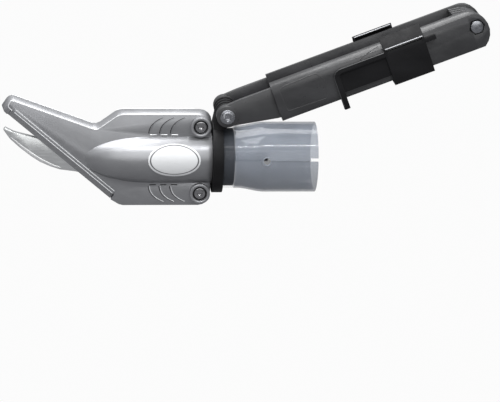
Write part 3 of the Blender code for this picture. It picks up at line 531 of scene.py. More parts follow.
class Finishes:
    """Every material of the head, made once."""

    def __init__(self) -> None:
        """Builds the materials."""
        self.casting = CastAlloy().build()
        self.strip = GroundSteel("strip_steel", (0.42, 0.425, 0.435), 0.42, -0.71, 0.00002).build()
        self.blade = GroundSteel("blade_steel", (0.86, 0.875, 0.87), 0.34, 0.35, 0.00001, True).build()
        self.bevel = GroundSteel("bevel_steel", (0.95, 0.96, 0.96), 0.4, -0.6).build()
        self.nylon = MouldedNylon().build()
        self.satin_nylon = MouldedNylon("satin_nylon", (0.0085, 0.0085, 0.0092), 0.52, 0.14).build()
        self.vinyl = SmokeVinyl().build()
        # Pale opaque paint on the vent's rim: a painted highlight.
        self.vinyl_edge = PlainMetal("vinyl_edge", (0.42, 0.45, 0.5), 0.25, 0.0).build()
        self.oxide = PlainMetal("black_oxide", (0.022, 0.022, 0.025), 0.32, 0.9).build()
        self.zinc = PlainMetal("zinc_plate", (0.34, 0.35, 0.37), 0.24).build()
        self.bearing = PlainMetal("bearing_steel", (0.14, 0.14, 0.15), 0.24).build()
        self.bronze = PlainMetal("bronze", (0.35, 0.22, 0.08), 0.38).build()
        self.rubber = SoftRubber().build()
        self.label = BlankLabel().build()
        # Dark paint in the screw recesses, beside the gills and on the lower dashes: painted shade.
        self.shadow = PlainMetal("recess_black", (0.03, 0.03, 0.032), 0.6, 0.3).build()
        # Pale paint on the casing's ridge, lip lines and gill parts: a painted highlight.
        self.ridge = PlainMetal("polished_ridge", (0.8, 0.81, 0.82), 0.4, 0.4).build()
        self.screw = PlainMetal("screw_steel", (0.36, 0.36, 0.37), 0.14).build()
        # Pale paint along the guides' plate edges: a painted highlight.
        self.pale_edge = PlainMetal("worn_nylon_edge", (0.5, 0.51, 0.53), 0.3, 0.0).build()

    def of_slot(self, slot: str) -> Material:
        """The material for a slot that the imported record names.

        Args:
            slot: The slot.

        Returns:
            Its material.
        """
        return {
            "cast_silver": self.casting, "ground_steel": self.strip, "blade_steel": self.blade,
            "bearing_steel": self.bearing, "black_oxide": self.oxide, "zinc": self.zinc,
            "bronze": self.bronze, "black_nylon": self.nylon, "smoke_vinyl": self.vinyl,
            "black_rubber": self.rubber, "label_grey": self.label,
        }[slot]


# ------------------------------------------------------------------ pieces


@dataclass(frozen=True)
class Tag:
    """What a piece is called, its material, its slot in the record and the body it rides on."""

    name: str
    material: Material
    slot: str = "cast_silver"
    body: str = "head"


def slots() -> dict[str, str]:
    """The record's material slot for each node."""
    return {entry["node"]: entry["material_slot"] for entry in frame["record"]["subparts"]}


def placed(mesh: bpy.types.Mesh, tag: Tag) -> Piece:
    """Links a mesh as a piece that rides on a body.

    Args:
        mesh: The mesh, in metres.
        tag: What the piece is.

    Returns:
        The piece.
    """
    mesh.shade_smooth()
    mesh.set_sharp_from_angle(angle=SHARP_ANGLE)
    mesh.materials.clear()
    mesh.materials.append(tag.material)
    piece = bpy.data.objects.new(tag.name, mesh)
    bpy.context.scene.collection.objects.link(piece)
    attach(piece, tag.body)
    LOG.info("%s rides on %s: %d faces", tag.name, tag.body, len(mesh.polygons))
    return piece


def finished_piece(bm: bmesh.types.BMesh, tag: Tag) -> Piece:
    """Makes a piece from a mesh in millimetres.

    Args:
        bm: The mesh, which is freed.
        tag: What the piece is.

    Returns:
        The piece.
    """
    bmesh.ops.scale(bm, vec=(MM,) * 3, verts=bm.verts)
    bmesh.ops.remove_doubles(bm, verts=bm.verts, dist=WELD)
    bmesh.ops.recalc_face_normals(bm, faces=bm.faces)
    mesh = bpy.data.meshes.new(tag.name)
    bm.to_mesh(mesh)
    bm.free()
    return placed(mesh, tag)


def swept(path: Sequence[Vector], radii: float | Sequence[float], tag: Tag, sides: int = 8,
          closed: bool = False, flat: float = 1.0) -> Piece:
    """A round bar that follows points.

    Args:
        path: The points, in millimetres.
        radii: The radius, or one for each point.
        tag: What the piece is.
        sides: Sides of the bar.
        closed: Whether the last point joins the first.
        flat: Height across Y as a share of the width.

    Returns:
        The bar.
    """
    bm = bmesh.new()
    count = len(path)
    sizes = [radii] * count if isinstance(radii, float) else radii
    turns = [2 * math.pi * k / sides for k in range(sides)]
    rings = []
    for i, point in enumerate(path):
        ahead = path[(i + 1) % count] if closed or i < count - 1 else point
        behind = path[i - 1] if closed or i else point
        along = (ahead - behind).normalized()
        across = along.cross(Vector((0.0, 1.0, 0.0))).normalized()
        lift = across.cross(along).normalized()
        rings.append([
            bm.verts.new(point + (across * math.cos(a) + lift * (flat * math.sin(a))) * sizes[i])
            for a in turns
        ])
    bridge(bm, rings, closed)
    if not closed:
        bm.faces.new(rings[0])
        bm.faces.new(rings[-1])
    return finished_piece(bm, tag)


def turned_about_y(profile: Sequence[Point2], centre: Point2, tag: Tag, sides: int = 48) -> Piece:
    """A ring turned about an axis along Y.

    Args:
        profile: Closed loop of (radius, y), in millimetres.
        centre: The axis, as (x, z).
        tag: What the piece is.
        sides: Sides of the ring.

    Returns:
        The ring.
    """
    bm = bmesh.new()
    turns = [2 * math.pi * k / sides for k in range(sides)]
    rings = [[bm.verts.new((centre[0] + r * math.cos(a), y, centre[1] + r * math.sin(a)))
              for a in turns] for r, y in profile]
    bridge(bm, rings, True)
    return finished_piece(bm, tag)


def bridge(bm: bmesh.types.BMesh, rings: Sequence[Sequence[bmesh.types.BMVert]],
           closed: bool) -> None:
    """Joins rings of points to their neighbours with faces.

    Args:
        bm: The mesh.
        rings: The rings, each with the same number of points.
        closed: Whether the last ring joins the first.
    """
    sides = len(rings[0])
    for i in range(len(rings) if closed else len(rings) - 1):
        low, high = rings[i], rings[(i + 1) % len(rings)]
        for k in range(sides):
            m = (k + 1) % sides
            bm.faces.new((low[k], low[m], high[m], high[k]))


def eased(before: Vector, here: Vector, after: Vector, reach: float, steps: int) -> list[Vector]:
    """Points that round off a corner.

    Args:
        before: The corner before it.
        here: The corner.
        after: The corner after it.
        reach: Distance from the corner to each end of the curve.
        steps: Steps along the curve.

    Returns:
        The curve's points.
    """
    start = here + (before - here).normalized() * reach
    end = here + (after - here).normalized() * reach
    return [start.lerp(here, t).lerp(here.lerp(end, t), t)
            for t in (k / steps for k in range(steps + 1))]


def evaluated_mesh(scratch: Piece, name: str) -> bpy.types.Mesh:
    """The plain mesh that an object's modifiers give; the object is then removed.

    Args:
        scratch: An object with modifiers.
        name: Name of the new mesh.

    Returns:
        The mesh.
    """
    graph = bpy.context.evaluated_depsgraph_get()
    mesh = bpy.data.meshes.new_from_object(scratch.evaluated_get(graph))
    mesh.name = name
    bpy.data.objects.remove(scratch)
    return mesh


@dataclass
class Refiner:
    """Replaces faceted nodes with copies whose edges are softened and whose curves are smooth."""

    finishes: Finishes
    merge: float = 0.002
    segments: int = 2

    def refine(self, width: float, *nodes: str, material: Material | None = None) -> None:
        """Makes the refined copies of some nodes.

        Args:
            width: Width of the softened edges in millimetres.
            *nodes: The nodes' names.
            material: Another material than the slot's, or None.
        """
        for node in nodes:
            source, slot = frame["nodes"][node], slots()[node]
            bm = bmesh.new()
            bm.from_mesh(source.data)
            bmesh.ops.remove_doubles(bm, verts=bm.verts, dist=self.merge * MM)
            bmesh.ops.dissolve_limit(bm, angle_limit=FACET_ANGLE, verts=bm.verts, edges=bm.edges)
            copy = bpy.data.meshes.new(node + "_copy")
            bm.to_mesh(copy)
            bm.free()
            scratch = bpy.data.objects.new(node + "_copy", copy)
            bpy.context.scene.collection.objects.link(scratch)
            soften = scratch.modifiers.new("edges", "BEVEL")
            soften.width, soften.segments = width * MM, self.segments
            soften.limit_method, soften.angle_limit = "ANGLE", SOFTENED_ANGLE
            soften.use_clamp_overlap = True
            name = node + "_skin"
            piece = placed(evaluated_mesh(scratch, name), Tag(
                name, material or self.finishes.of_slot(slot), slot, source["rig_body"]))
            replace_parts(piece, node)


class GeometryTree(Nodes):
    """A geometry node tree with named inputs, which ends as a plain mesh."""

    def __init__(self, name: str) -> None:
        """Starts a tree with one geometry output.

        Args:
            name: The tree's name.
        """
        super().__init__(bpy.data.node_groups.new(name, "GeometryNodeTree"))
        self.tree.interface.new_socket("Geometry", in_out="OUTPUT", socket_type="NodeSocketGeometry")
        self.inputs = self.node("NodeGroupInput")
        self.outputs = self.node("NodeGroupOutput")
        self.values: dict[str, object] = {}

    def size(self, name: str, value: object, kind: str = "NodeSocketFloat") -> Socket:
        """Adds a named input.

        Args:
            name: The input's name.
            value: What it is set to.
            kind: Its socket type.

        Returns:
            The input's socket inside the tree.
        """
        socket = self.tree.interface.new_socket(name, in_out="INPUT", socket_type=kind)
        self.values[socket.identifier] = value
        return self.inputs.outputs[name]

    def moved(self, shape: Socket, place: Sequence[float], turn: Sequence[float] = (0.0,) * 3) -> Socket:
        """A shape turned about the origin and then moved.

        Args:
            shape: The geometry.
            place: Where its origin goes, in millimetres.
            turn: Angles about X, Y and Z, in radians.

        Returns:
            The moved geometry.
        """
        made = self.fill(self.node("GeometryNodeTransform"), Rotation=tuple(turn),
                         Translation=tuple(part * MM for part in place))
        self.link(shape, made.inputs["Geometry"])
        return made.outputs["Geometry"]

    def repeated(self, shape: Socket, count: int, pitch: float) -> Socket:
        """Copies of a shape in a row along X, with the count and the pitch as named inputs.

        Args:
            shape: The geometry.
            count: How many.
            pitch: Distance from one to the next, in millimetres.

        Returns:
            The row.
        """
        row = self.node("GeometryNodeMeshLine", mode="OFFSET")
        step = self.node("ShaderNodeCombineXYZ")
        self.link(self.size("Count", count, "NodeSocketInt"), row.inputs["Count"])
        self.link(self.size("Pitch", pitch * MM), step.inputs["X"])
        self.link(step.outputs["Vector"], row.inputs["Offset"])
        copies = self.node("GeometryNodeInstanceOnPoints")
        self.link(row.outputs["Mesh"], copies.inputs["Points"])
        self.link(shape, copies.inputs["Instance"])
        return copies.outputs["Instances"]

    def piece(self, result: Socket, tag: Tag) -> Piece:
        """Ends the tree and makes a piece of the plain mesh that it gives.

        Args:
            result: The geometry to keep.
            tag: What the piece is.

        Returns:
            The piece.
        """
        realize = self.node("GeometryNodeRealizeInstances")
        paint = self.fill(self.node("GeometryNodeSetMaterial"), Material=tag.material)
        self.link(result, realize.inputs["Geometry"])
        self.link(realize.outputs["Geometry"], paint.inputs["Geometry"])
        self.link(paint.outputs["Geometry"], self.outputs.inputs["Geometry"])
        carrier = bpy.data.objects.new(tag.name, bpy.data.meshes.new(tag.name))
        bpy.context.scene.collection.objects.link(carrier)
        modifier = carrier.modifiers.new("build", "NODES")
        modifier.node_group = self.tree
        for identifier, value in self.values.items():
            modifier[identifier] = value
        return placed(evaluated_mesh(carrier, tag.name), tag)


# ------------------------------------------------------------------ sub-assemblies


@dataclass
class Gills:
    """Raised crescent louvres in a row on the casing's face, with a dash at the root of each."""

    finishes: Finishes
    count: int = 3
    pitch: float = 8.5
    first_x: float = -94.6
    root_z: float = 21.6
    rise: float = 12.8
    lean: float = 11.2
    root_handle: Point2 = (0.3, 7.0)
    tip_handle: Point2 = (5.5, 2.2)
    thickness: float = 0.8
    root_share: float = 0.55
    tip_share: float = 0.35
    widest_at: float = 0.35
    face: float = 9.5
    bedded: float = 0.1
    steps: int = 14
    sides: int = 8
    # Place and thickness of the dark bar of painted shade beside each raised edge.
    hollow_shift: float = -0.95
    hollow_share: float = 0.9
    dash_length: float = 5.2
    dash_z: float = 20.5
    dash_radius: float = 0.38
    dash_sides: int = 10

    def build(self, side: Side, vertical: Vertical) -> None:
        """Makes one row: the raised edges, the dark bars of painted shade beside them and the dashes.

        Args:
            side: Near or far casing.
            vertical: Above or below the drive axis.
        """
        prefix = f"{side.word}_{vertical.word}"
        shade, ridge = self.finishes.shadow, self.finishes.ridge
        # The lower row's edges and the upper row's dashes are pale painted highlights; the lower row's
        # dashes are painted shade.
        gill, dash = (self.finishes.casting, ridge) if vertical is Vertical.UPPER else (ridge, shade)
        self.row(Tag(f"{prefix}_gills", gill), side, vertical, 0.0, self.thickness)
        self.row(Tag(f"{prefix}_gill_hollows", shade), side, vertical, self.hollow_shift,
                 self.thickness * self.hollow_share)
        self.dashes(Tag(f"{prefix}_dashes", dash), side, vertical)

    def dashes(self, tag: Tag, side: Side, vertical: Vertical) -> Piece:
        """The short raised dashes between the gills and the dome.

        Args:
            tag: What the piece is.
            side: Near or far casing.
            vertical: Above or below the drive axis.

        Returns:
            The row.
        """
        tree = GeometryTree(tag.name)
        bar = tree.fill(tree.node("GeometryNodeMeshCylinder"), Vertices=self.dash_sides)
        tree.link(tree.size("Length", self.dash_length * MM), bar.inputs["Depth"])
        tree.link(tree.size("Radius", self.dash_radius * MM), bar.inputs["Radius"])
        place = (self.first_x + self.dash_length / 2, side.value * self.face,
                 vertical.value * self.dash_z)
        lying = tree.moved(bar.outputs["Mesh"], place, ALONG_X)
        return tree.piece(tree.repeated(lying, self.count, self.pitch), tag)

    def row(self, tag: Tag, side: Side, vertical: Vertical, shift: float, thick: float) -> Piece:
        """A row of crescents.

        Args:
            tag: What the piece is.
            side: Near or far casing.
            vertical: Above or below the drive axis.
            shift: Distance along X from the raised edges.
            thick: Radius of the bar where it is widest.

        Returns:
            The row.
        """
        up = vertical.value
        tree = GeometryTree(tag.name)
        start = Vector((self.first_x + shift, side.value * (self.face - self.bedded),
                        up * self.root_z))
        end = start + Vector((self.lean, 0.0, up * self.rise))
        pull, draw = self.root_handle, self.tip_handle
        curve = tree.fill(
            tree.node("GeometryNodeCurvePrimitiveBezierSegment", mode="POSITION"),
            Resolution=self.steps, Start=start * MM, End=end * MM,
            Start_Handle=(start + Vector((pull[0], 0.0, up * pull[1]))) * MM,
            End_Handle=(end - Vector((draw[0], 0.0, up * draw[1]))) * MM)
        taper = tree.node("ShaderNodeFloatCurve")
        spot = tree.node("GeometryNodeSplineParameter")
        tree.link(spot.outputs["Factor"], taper.inputs["Value"])
        points = taper.mapping.curves[0].points
        points[0].location, points[1].location = (0.0, self.root_share), (1.0, self.tip_share)
        points.new(self.widest_at, 1.0)
        taper.mapping.update()
        bar = tree.fill(tree.node("GeometryNodeCurvePrimitiveCircle", mode="RADIUS"),
                        Resolution=self.sides)
        tree.link(tree.size("Thickness", thick * MM), bar.inputs["Radius"])
        body = tree.fill(tree.node("GeometryNodeCurveToMesh"), Fill_Caps=True)
        tree.link(curve.outputs["Curve"], body.inputs["Curve"])
        tree.link(bar.outputs["Curve"], body.inputs["Profile Curve"])
        tree.link(taper.outputs["Value"], body.inputs["Scale"])
        return tree.piece(tree.repeated(body.outputs["Mesh"], self.count, self.pitch), tag)


@dataclass
class SleeveSkin:
    """The flexible sleeve: snug on the neck, swelling to its mouth, with vent, slit and notch."""

    finishes: Finishes
    flare: float = 3.1
    wall: float = 1.6
    swell: Point2 = (-25.0, -3.0)
    vent: Point2 = (-2.9, 3.4)
    vent_radius: float = 3.2
    vent_sides: int = 32
    rim_inward: float = 0.35
    rim_outward: float = 0.3
    rim_share: float = 0.6
    slit_width: float = 0.5
    notch_length: float = 6.2
    notch_width: float = 2.7
    notch_below: float = 0.1
    cutter_depth: float = 12.0
    sides: int = 96
    rings: int = 48
    slit_spare: float = 2.0
    notch_spare: float = 3.0
    front: float = field(init=False)
    rear: float = field(init=False)
    mouth_radius: float = field(init=False)

    def __post_init__(self) -> None:
        """Reads the sleeve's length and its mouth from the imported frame."""
        low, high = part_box("sleeve")
        self.front, self.rear = low[0] / MM, high[0] / MM
        self.mouth_radius = high[1] / MM

    def swelling(self, tree: GeometryTree, word: str, inset: float, spare: float) -> Socket:
        """A closed solid whose radius swells from neck to mouth.

        Args:
            tree: The tree.
            word: First word of its named inputs.
            inset: How far inside the outer surface.
            spare: Length added at both ends.

        Returns:
            The solid, along X.
        """
        drum = tree.fill(tree.node("GeometryNodeMeshCylinder", fill_type="NGON"), Radius=MM,
                         Vertices=self.sides, Side_Segments=self.rings)
        tree.link(tree.size(f"{word} Length", (self.rear - self.front + 2 * spare) * MM),
                  drum.inputs["Depth"])
        lying = tree.moved(drum.outputs["Mesh"], ((self.front + self.rear) / 2, 0.0, 0.0), ALONG_X)
        split = tree.node("ShaderNodeSeparateXYZ")
        tree.link(tree.node("GeometryNodeInputPosition").outputs["Position"], split.inputs["Vector"])
        mouth = self.mouth_radius - inset
        grow = tree.node("ShaderNodeMapRange", interpolation_type="SMOOTHSTEP")
        for key, name, value in (
            ("From Min", "Swell Start", self.swell[0] * MM), ("From Max", "Swell End", self.swell[1] * MM),
            ("To Min", "Neck Radius in mm", mouth - self.flare), ("To Max", "Mouth Radius in mm", mouth),
        ):
            tree.link(tree.size(f"{word} {name}", value), grow.inputs[key])
        tree.link(split.outputs["X"], grow.inputs["Value"])
        join = tree.node("ShaderNodeCombineXYZ")
        tree.link(split.outputs["X"], join.inputs["X"])
        for axis in ("Y", "Z"):
            times = tree.node("ShaderNodeMath", operation="MULTIPLY")
            tree.link(split.outputs[axis], times.inputs[0])
            tree.link(grow.outputs["Result"], times.inputs[1])
            tree.link(times.outputs["Value"], join.inputs[axis])
        move = tree.node("GeometryNodeSetPosition")
        tree.link(lying, move.inputs["Geometry"])
        tree.link(join.outputs["Vector"], move.inputs["Position"])
        return move.outputs["Geometry"]

    def block(self, tree: GeometryTree, x: Point2, z: Point2) -> Socket:
        """A cutter through the near wall.

        Args:
            tree: The tree.
            x: Its ends along X.
            z: Its lower and upper faces.

        Returns:
            The cutter.
        """
        cube = tree.fill(tree.node("GeometryNodeMeshCube"), Size=(
            (x[1] - x[0]) * MM, self.cutter_depth * MM, (z[1] - z[0]) * MM))
        return tree.moved(cube.outputs["Mesh"],
                          ((x[0] + x[1]) / 2, -self.mouth_radius, (z[0] + z[1]) / 2))

    def build(self) -> None:
        """Makes the sleeve and its vent's rim."""
        tree = GeometryTree("flexible_sleeve")
        x, z = self.vent
        hole = tree.fill(tree.node("GeometryNodeMeshCylinder"), Vertices=self.vent_sides,
                         Depth=self.cutter_depth * MM)
        tree.link(tree.size("Vent Radius", self.vent_radius * MM), hole.inputs["Radius"])
        result = self.swelling(tree, "Outer", 0.0, 0.0)
        for cutter in (
            self.swelling(tree, "Inner", self.wall, self.slit_spare),
            tree.moved(hole.outputs["Mesh"], (x, -self.mouth_radius, z), ALONG_Y),
            self.block(tree, (x, self.rear + self.slit_spare), (z, z + self.slit_width)),
            self.block(tree, (self.rear - self.notch_length, self.rear + self.notch_spare),
                       (z - self.notch_below, z + self.notch_width)),
        ):
            cut = tree.node("GeometryNodeMeshBoolean", operation="DIFFERENCE")
            tree.link(result, cut.inputs["Mesh 1"])
            tree.link(cutter, cut.inputs["Mesh 2"])
            result = cut.outputs["Mesh"]
        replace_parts(tree.piece(result, Tag("sleeve_skin", self.finishes.vinyl, "smoke_vinyl")), "sleeve")
        self.vent_rim()

    def vent_rim(self) -> Piece:
        """The rolled edge round the vent, in pale opaque paint: a painted highlight for the light it
        catches.

        Returns:
            The rim.
        """
        x, z = self.vent
        face = -math.sqrt(self.mouth_radius ** 2 - (abs(z) + self.vent_radius) ** 2)
        back = face + self.wall * self.rim_share
        inner, outer = self.vent_radius - self.rim_inward, self.vent_radius + self.rim_outward
        return turned_about_y([(inner, face), (outer, face), (outer, back), (inner, back)], (x, z),
                              Tag("vent_rim", self.finishes.vinyl_edge, "smoke_vinyl"), self.vent_sides)


@dataclass
class Casing:
    """The two casing halves with gills, boss rims and the lip along the slanted edge."""

    finishes: Finishes
    refiner: Refiner
    edge: float = 0.6
    boss_x: float = -54.6
    boss_z: float = 27.3
    boss_face: float = 13.0
    rim_outer: float = 8.1
    rim_inner: float = 5.9
    rim_height: float = 0.45
    rim_bedded: float = 0.2
    rim_lean: float = 0.1
    rim_crown: float = 0.5
    rim_shoulder: float = 0.25
    recess_floor: float = 8.35
    recess_rise: float = 0.5
    recess_outer: float = 5.7
    recess_inner: float = 4.55
    face: float = 9.5
    draft: float = 2.4
    ridge_radius: float = 0.42
    ridge_flat: float = 0.6
    corner_share: float = 0.5
    corner_steps: int = 7
    outline: tuple[Point2, ...] = (
        (-204.2, 38.2), (-208.4, 42.6), (-204.6, 51.2), (-137.0, 26.6), (-119.5, 39.1),
        (-58.7, 39.1),
    )
    outline_radii: tuple[float, ...] = (0.0, 2.0, 4.0, 6.0, 8.0, 0.0)
    edge_top: Point2 = (-206.3, 36.9)
    edge_bottom: Point2 = (-125.6, -32.5)
    lip_height: float = 0.9
    lip_radius: float = 0.36
    lip_flat: float = 0.7
    lip_outer_inset: float = 5.1
    lip_inner_inset: float = 7.4
    lip_ends: Point2 = (0.03, 0.98)
    lip_steps: int = 12

    def build(self) -> None:
        """Makes every piece of the casing."""
        for side in Side:
            self.ridge(side)
            self.edge_lines(side)
        self.refiner.refine(self.edge, "near_casing", "far_casing")
        for side in Side:
            for vertical in Vertical:
                Gills(self.finishes).build(side, vertical)
                self.rim(side, vertical)

    def ridge(self, side: Side) -> Piece:
        """The ridge where the flat face meets the drafted edge, in pale paint as a painted highlight.

        Args:
            side: Near or far casing.

        Returns:
            The ridge.
        """
        corners = [Vector(point) for point in self.outline]
        lines = []
        for a, b in zip(corners, corners[1:]):
            along = (b - a).normalized()
            lines.append((a + Vector((along.y, -along.x)) * self.draft, along))
        inset = [lines[0][0]]
        for (p, u), (q, v) in zip(lines, lines[1:]):
            inset.append(p + u * ((q - p).cross(v) / u.cross(v)))
        inset.append(lines[-1][0] + lines[-1][1] * (corners[-1] - corners[-2]).length)
        path: list[Vector] = []
        for i, here in enumerate(inset):
            reach = self.outline_radii[i] * self.corner_share
            path += eased(inset[i - 1], here, inset[i + 1], reach, self.corner_steps) if reach else [here]
        points = [Vector((p.x, side.value * self.face, p.y)) for p in path]
        return swept(points, self.ridge_radius, Tag(f"{side.word}_ridge", self.finishes.ridge),
                     flat=self.ridge_flat)

    def edge_lines(self, side: Side) -> None:
        """The two rolled edges of the lip along the slanted edge, in pale paint as painted highlights.

        Args:
            side: Near or far casing.
        """
        top, bottom = Vector(self.edge_top), Vector(self.edge_bottom)
        along = (bottom - top).normalized()
        into = Vector((-along.y, along.x))
        y = side.value * (self.face + self.lip_height)
        for word, inset in (("outer", self.lip_outer_inset), ("inner", self.lip_inner_inset)):
            start, end = (top.lerp(bottom, share) + into * inset for share in self.lip_ends)
            spots = (start.lerp(end, k / self.lip_steps) for k in range(self.lip_steps + 1))
            swept([Vector((p.x, y, p.y)) for p in spots], self.lip_radius,
                  Tag(f"{side.word}_{word}_lip_line", self.finishes.ridge), flat=self.lip_flat)

    def rim(self, side: Side, vertical: Vertical) -> None:
        """A dark ring of painted shade on the floor of one screw recess, and the rolled rim round it.

        Args:
            side: Near or far casing.
            vertical: Upper or lower boss.
        """
        out, prefix = side.value, f"{side.word}_{vertical.word}"
        centre = (self.boss_x, vertical.value * self.boss_z)
        floor = out * self.recess_floor
        raised = floor + out * self.recess_rise
        # Painted shade: a dark ring on the recess floor.
        turned_about_y([(self.recess_outer, floor), (self.recess_outer, raised),
                        (self.recess_inner, raised), (self.recess_inner, floor)], centre,
                       Tag(f"{prefix}_recess_floor", self.finishes.shadow))
        low, high = out * (self.boss_face - self.rim_bedded), out * (self.boss_face + self.rim_height)
        shoulder, outer, inner = high - out * self.rim_shoulder, self.rim_outer, self.rim_inner
        turned_about_y([(outer, low), (outer - self.rim_lean, shoulder), (outer - self.rim_crown, high),
                        (inner + self.rim_crown, high), (inner + self.rim_lean, shoulder), (inner, low)],
                       centre, Tag(f"{prefix}_boss_rim", self.finishes.casting))


@dataclass
class Blades:
    """The two side blades and the moving centre blade with its ground bevel."""

    finishes: Finishes
    refiner: Refiner
    side_edge: float = 0.2
    centre_edge: float = 0.25
    bush_edge: float = 0.15
    half_thickness: float = 2.5
    bevel_points: tuple[Point2, ...] = (
        (-165.3, -9.9), (-173.2, -7.3), (-181.0, -3.6), (-188.9, 1.7), (-196.7, 7.9),
        (-204.5, 15.2),
    )
    bevel_width: float = 1.5
    bevel_inset: float = 0.95
    bevel_end_share: float = 0.3
    bevel_sides: int = 10
    bevel_flat: float = 0.12

    def build(self) -> None:
        """Makes the blades' pieces."""
        self.refiner.refine(self.side_edge, "near_side_blade", "far_side_blade")
        self.refiner.refine(self.centre_edge, "centre_blade")
        self.refiner.refine(self.bush_edge, "pivot_bush")
        for side in Side:
            self.ground_bevel(side)

    def ground_bevel(self, side: Side) -> Piece:
        """The bright ground band along the blade's lower edge.

        Args:
            side: Which face of the blade.

        Returns:
            The band.
        """
        points = [Vector((x, side.value * self.half_thickness, z)) for x, z in self.bevel_points]
        last = len(points) - 1
        path, radii = [], []
        for i, point in enumerate(points):
            along = (points[min(i + 1, last)] - points[max(i - 1, 0)]).normalized()
            inward = Vector((along.z, 0.0, -along.x))
            path.append(point + inward * (self.bevel_width * self.bevel_inset))
            swell = (1.0 - self.bevel_end_share) * math.sin(math.pi * i / last)
            radii.append(self.bevel_width * (self.bevel_end_share + swell))
        return swept(path, radii, Tag(f"{side.word}_blade_bevel", self.finishes.bevel, "blade_steel",
                                      "blade"), self.bevel_sides, flat=self.bevel_flat)


@dataclass
class Arm:
    """Tongues, shells, guides and their raised lines, placed in the arm's own frame.

    That frame has s along the arm from its hinge, y across and w square to the arm.
    """

    finishes: Finishes
    refiner: Refiner
    body_edge: float = 0.5
    guide_edge: float = 0.35
    small_edge: float = 0.25
    panel: tuple[Point2, ...] = (
        (44.8, 6.3), (50.5, 7.8), (76.2, 8.5), (81.1, 2.1), (78.5, -13.2), (45.9, -12.2),
    )
    panel_reach: float = 2.4
    panel_share: float = 0.4
    panel_steps: int = 5
    arch: tuple[Point2, ...] = ((112.0, 6.4), (116.5, 8.4), (121.5, 9.7), (126.0, 10.6), (129.5, 11.1))
    line_radius: float = 0.42
    line_flat: float = 0.7
    line_sunk: float = 0.09
    shell_face: float = 22.0
    ray_start: float = 10.0
    guide_start: float = 132.0
    guide_length: float = 33.0
    guide_outer: float = 25.0
    far_shift: float = -17.5
    plate_foot: Point2 = (25.6, 8.2)
    plate_crest: Point2 = (16.6, 16.6)
    plate_thickness: float = 1.4
    plate_ends: Point2 = (0.04, 0.97)
    plate_radius: float = 0.4
    plate_steps: int = 8
    hook_start: float = 88.4
    hook_tip: float = -26.5
    hook_spare: float = 1.0
    hook_bend: float = 6.5
    bend_steps: int = 6
    rail_top: float = 6.0
    rail_spare: float = 0.5
    edge_inset: float = 0.15
    edge_bedded: float = 0.1
    hinge: Vector = field(init=False)
    along: Vector = field(init=False)
    square: Vector = field(init=False)
    shells: dict[Side, BVHTree] = field(init=False)

    def __post_init__(self) -> None:
        """Reads the arm's hinge and direction, and the shells' surfaces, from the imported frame."""
        joints = {joint["name"]: joint for joint in frame["joints"]}
        self.hinge = Vector(joints["arm_tilt"]["pos_m"]) / MM
        self.along = Vector(joints["arm_slide"]["axis"])
        self.square = Vector((-self.along.z, 0.0, self.along.x))
        meshes = {side: frame["nodes"][f"{side.word}_arm_shell"].data for side in Side}
        self.shells = {side: BVHTree.FromPolygons([v.co for v in mesh.vertices],
                                                  [tuple(face.vertices) for face in mesh.polygons])
                       for side, mesh in meshes.items()}

    def world(self, s: float, y: float, w: float) -> Vector:
        """A point of the arm's frame in the row frame, in millimetres."""
        return self.hinge + self.along * s + self.square * w + Vector((0.0, y, 0.0))

    def on_shell(self, side: Side, s: float, w: float) -> Vector:
        """A point just under the shell's outer surface, so a line there stands below the guide's gap.

        Args:
            side: Near or far shell.
            s: Distance along the arm from its hinge.
            w: Distance square to the arm.

        Returns:
            The point in the row frame, in millimetres.
        """
        outside = self.world(s, side.value * (self.shell_face + self.ray_start), w) * MM
        spot = self.shells[side].ray_cast(outside, Vector((0.0, -side.value, 0.0)))[0] / MM
        return spot - Vector((0.0, side.value * self.line_sunk, 0.0))

    def build(self) -> None:
        """Makes the arm's pieces."""
        refine = self.refiner.refine
        refine(self.body_edge, "near_tongue", "far_tongue", "near_arm_shell", "far_arm_shell")
        refine(self.guide_edge, "end_spacer")
        refine(self.guide_edge, "near_strap_guide", "far_strap_guide",
               material=self.finishes.satin_nylon)
        refine(self.small_edge, "hinge_bolt", "hinge_nut", "near_hinge_washer", "far_hinge_washer",
               "end_bolt", "end_nut")
        for side in Side:
            for word, spots, closed in (("panel", self.panel_loop(), True),
                                        ("arch", [Vector(spot) for spot in self.arch], False)):
                swept([self.on_shell(side, spot.x, spot.y) for spot in spots], self.line_radius,
                      Tag(f"{side.word}_{word}_line", self.finishes.nylon, "black_nylon", "shells"),
                      closed=closed, flat=self.line_flat)
            self.plate_edge(side)
            self.rail_edge(side)

    def panel_loop(self) -> list[Vector]:
        """The panel's outline with eased corners.

        Returns:
            Its points, as (s, w).
        """
        corners = [Vector(corner) for corner in self.panel]
        loop: list[Vector] = []
        for i, here in enumerate(corners):
            before, after = corners[i - 1], corners[(i + 1) % len(corners)]
            shorter = min((before - here).length, (after - here).length)
            reach = min(self.panel_reach, shorter * self.panel_share)
            loop += eased(before, here, after, reach, self.panel_steps)
        return loop

    def rail_edge(self, side: Side) -> Piece:
        """The rounded edge down the finger hook, round its bend and along the rail.

        Args:
            side: Near or far guide.

        Returns:
            The edge.
        """
        shift = 0.0 if side is Side.NEAR else self.far_shift
        left, top = self.hook_start + self.edge_inset, self.rail_top - self.edge_inset
        bend = self.hook_bend
        spots = [(left, self.hook_tip + self.hook_spare), (left, top - bend)]
        spots += [(left + bend - bend * math.cos(a), top - bend + bend * math.sin(a))
                  for a in (math.pi / 2 * k / self.bend_steps for k in range(1, self.bend_steps))]
        spots += [(left + bend, top), (self.guide_start - self.rail_spare, top)]
        y = side.value * (self.guide_outer - self.edge_bedded)
        return swept([self.world(s + shift, y, w) for s, w in spots], self.line_radius,
                     Tag(f"{side.word}_rail_edge", self.finishes.nylon, "black_nylon",
                         f"{side.word}_guide"))

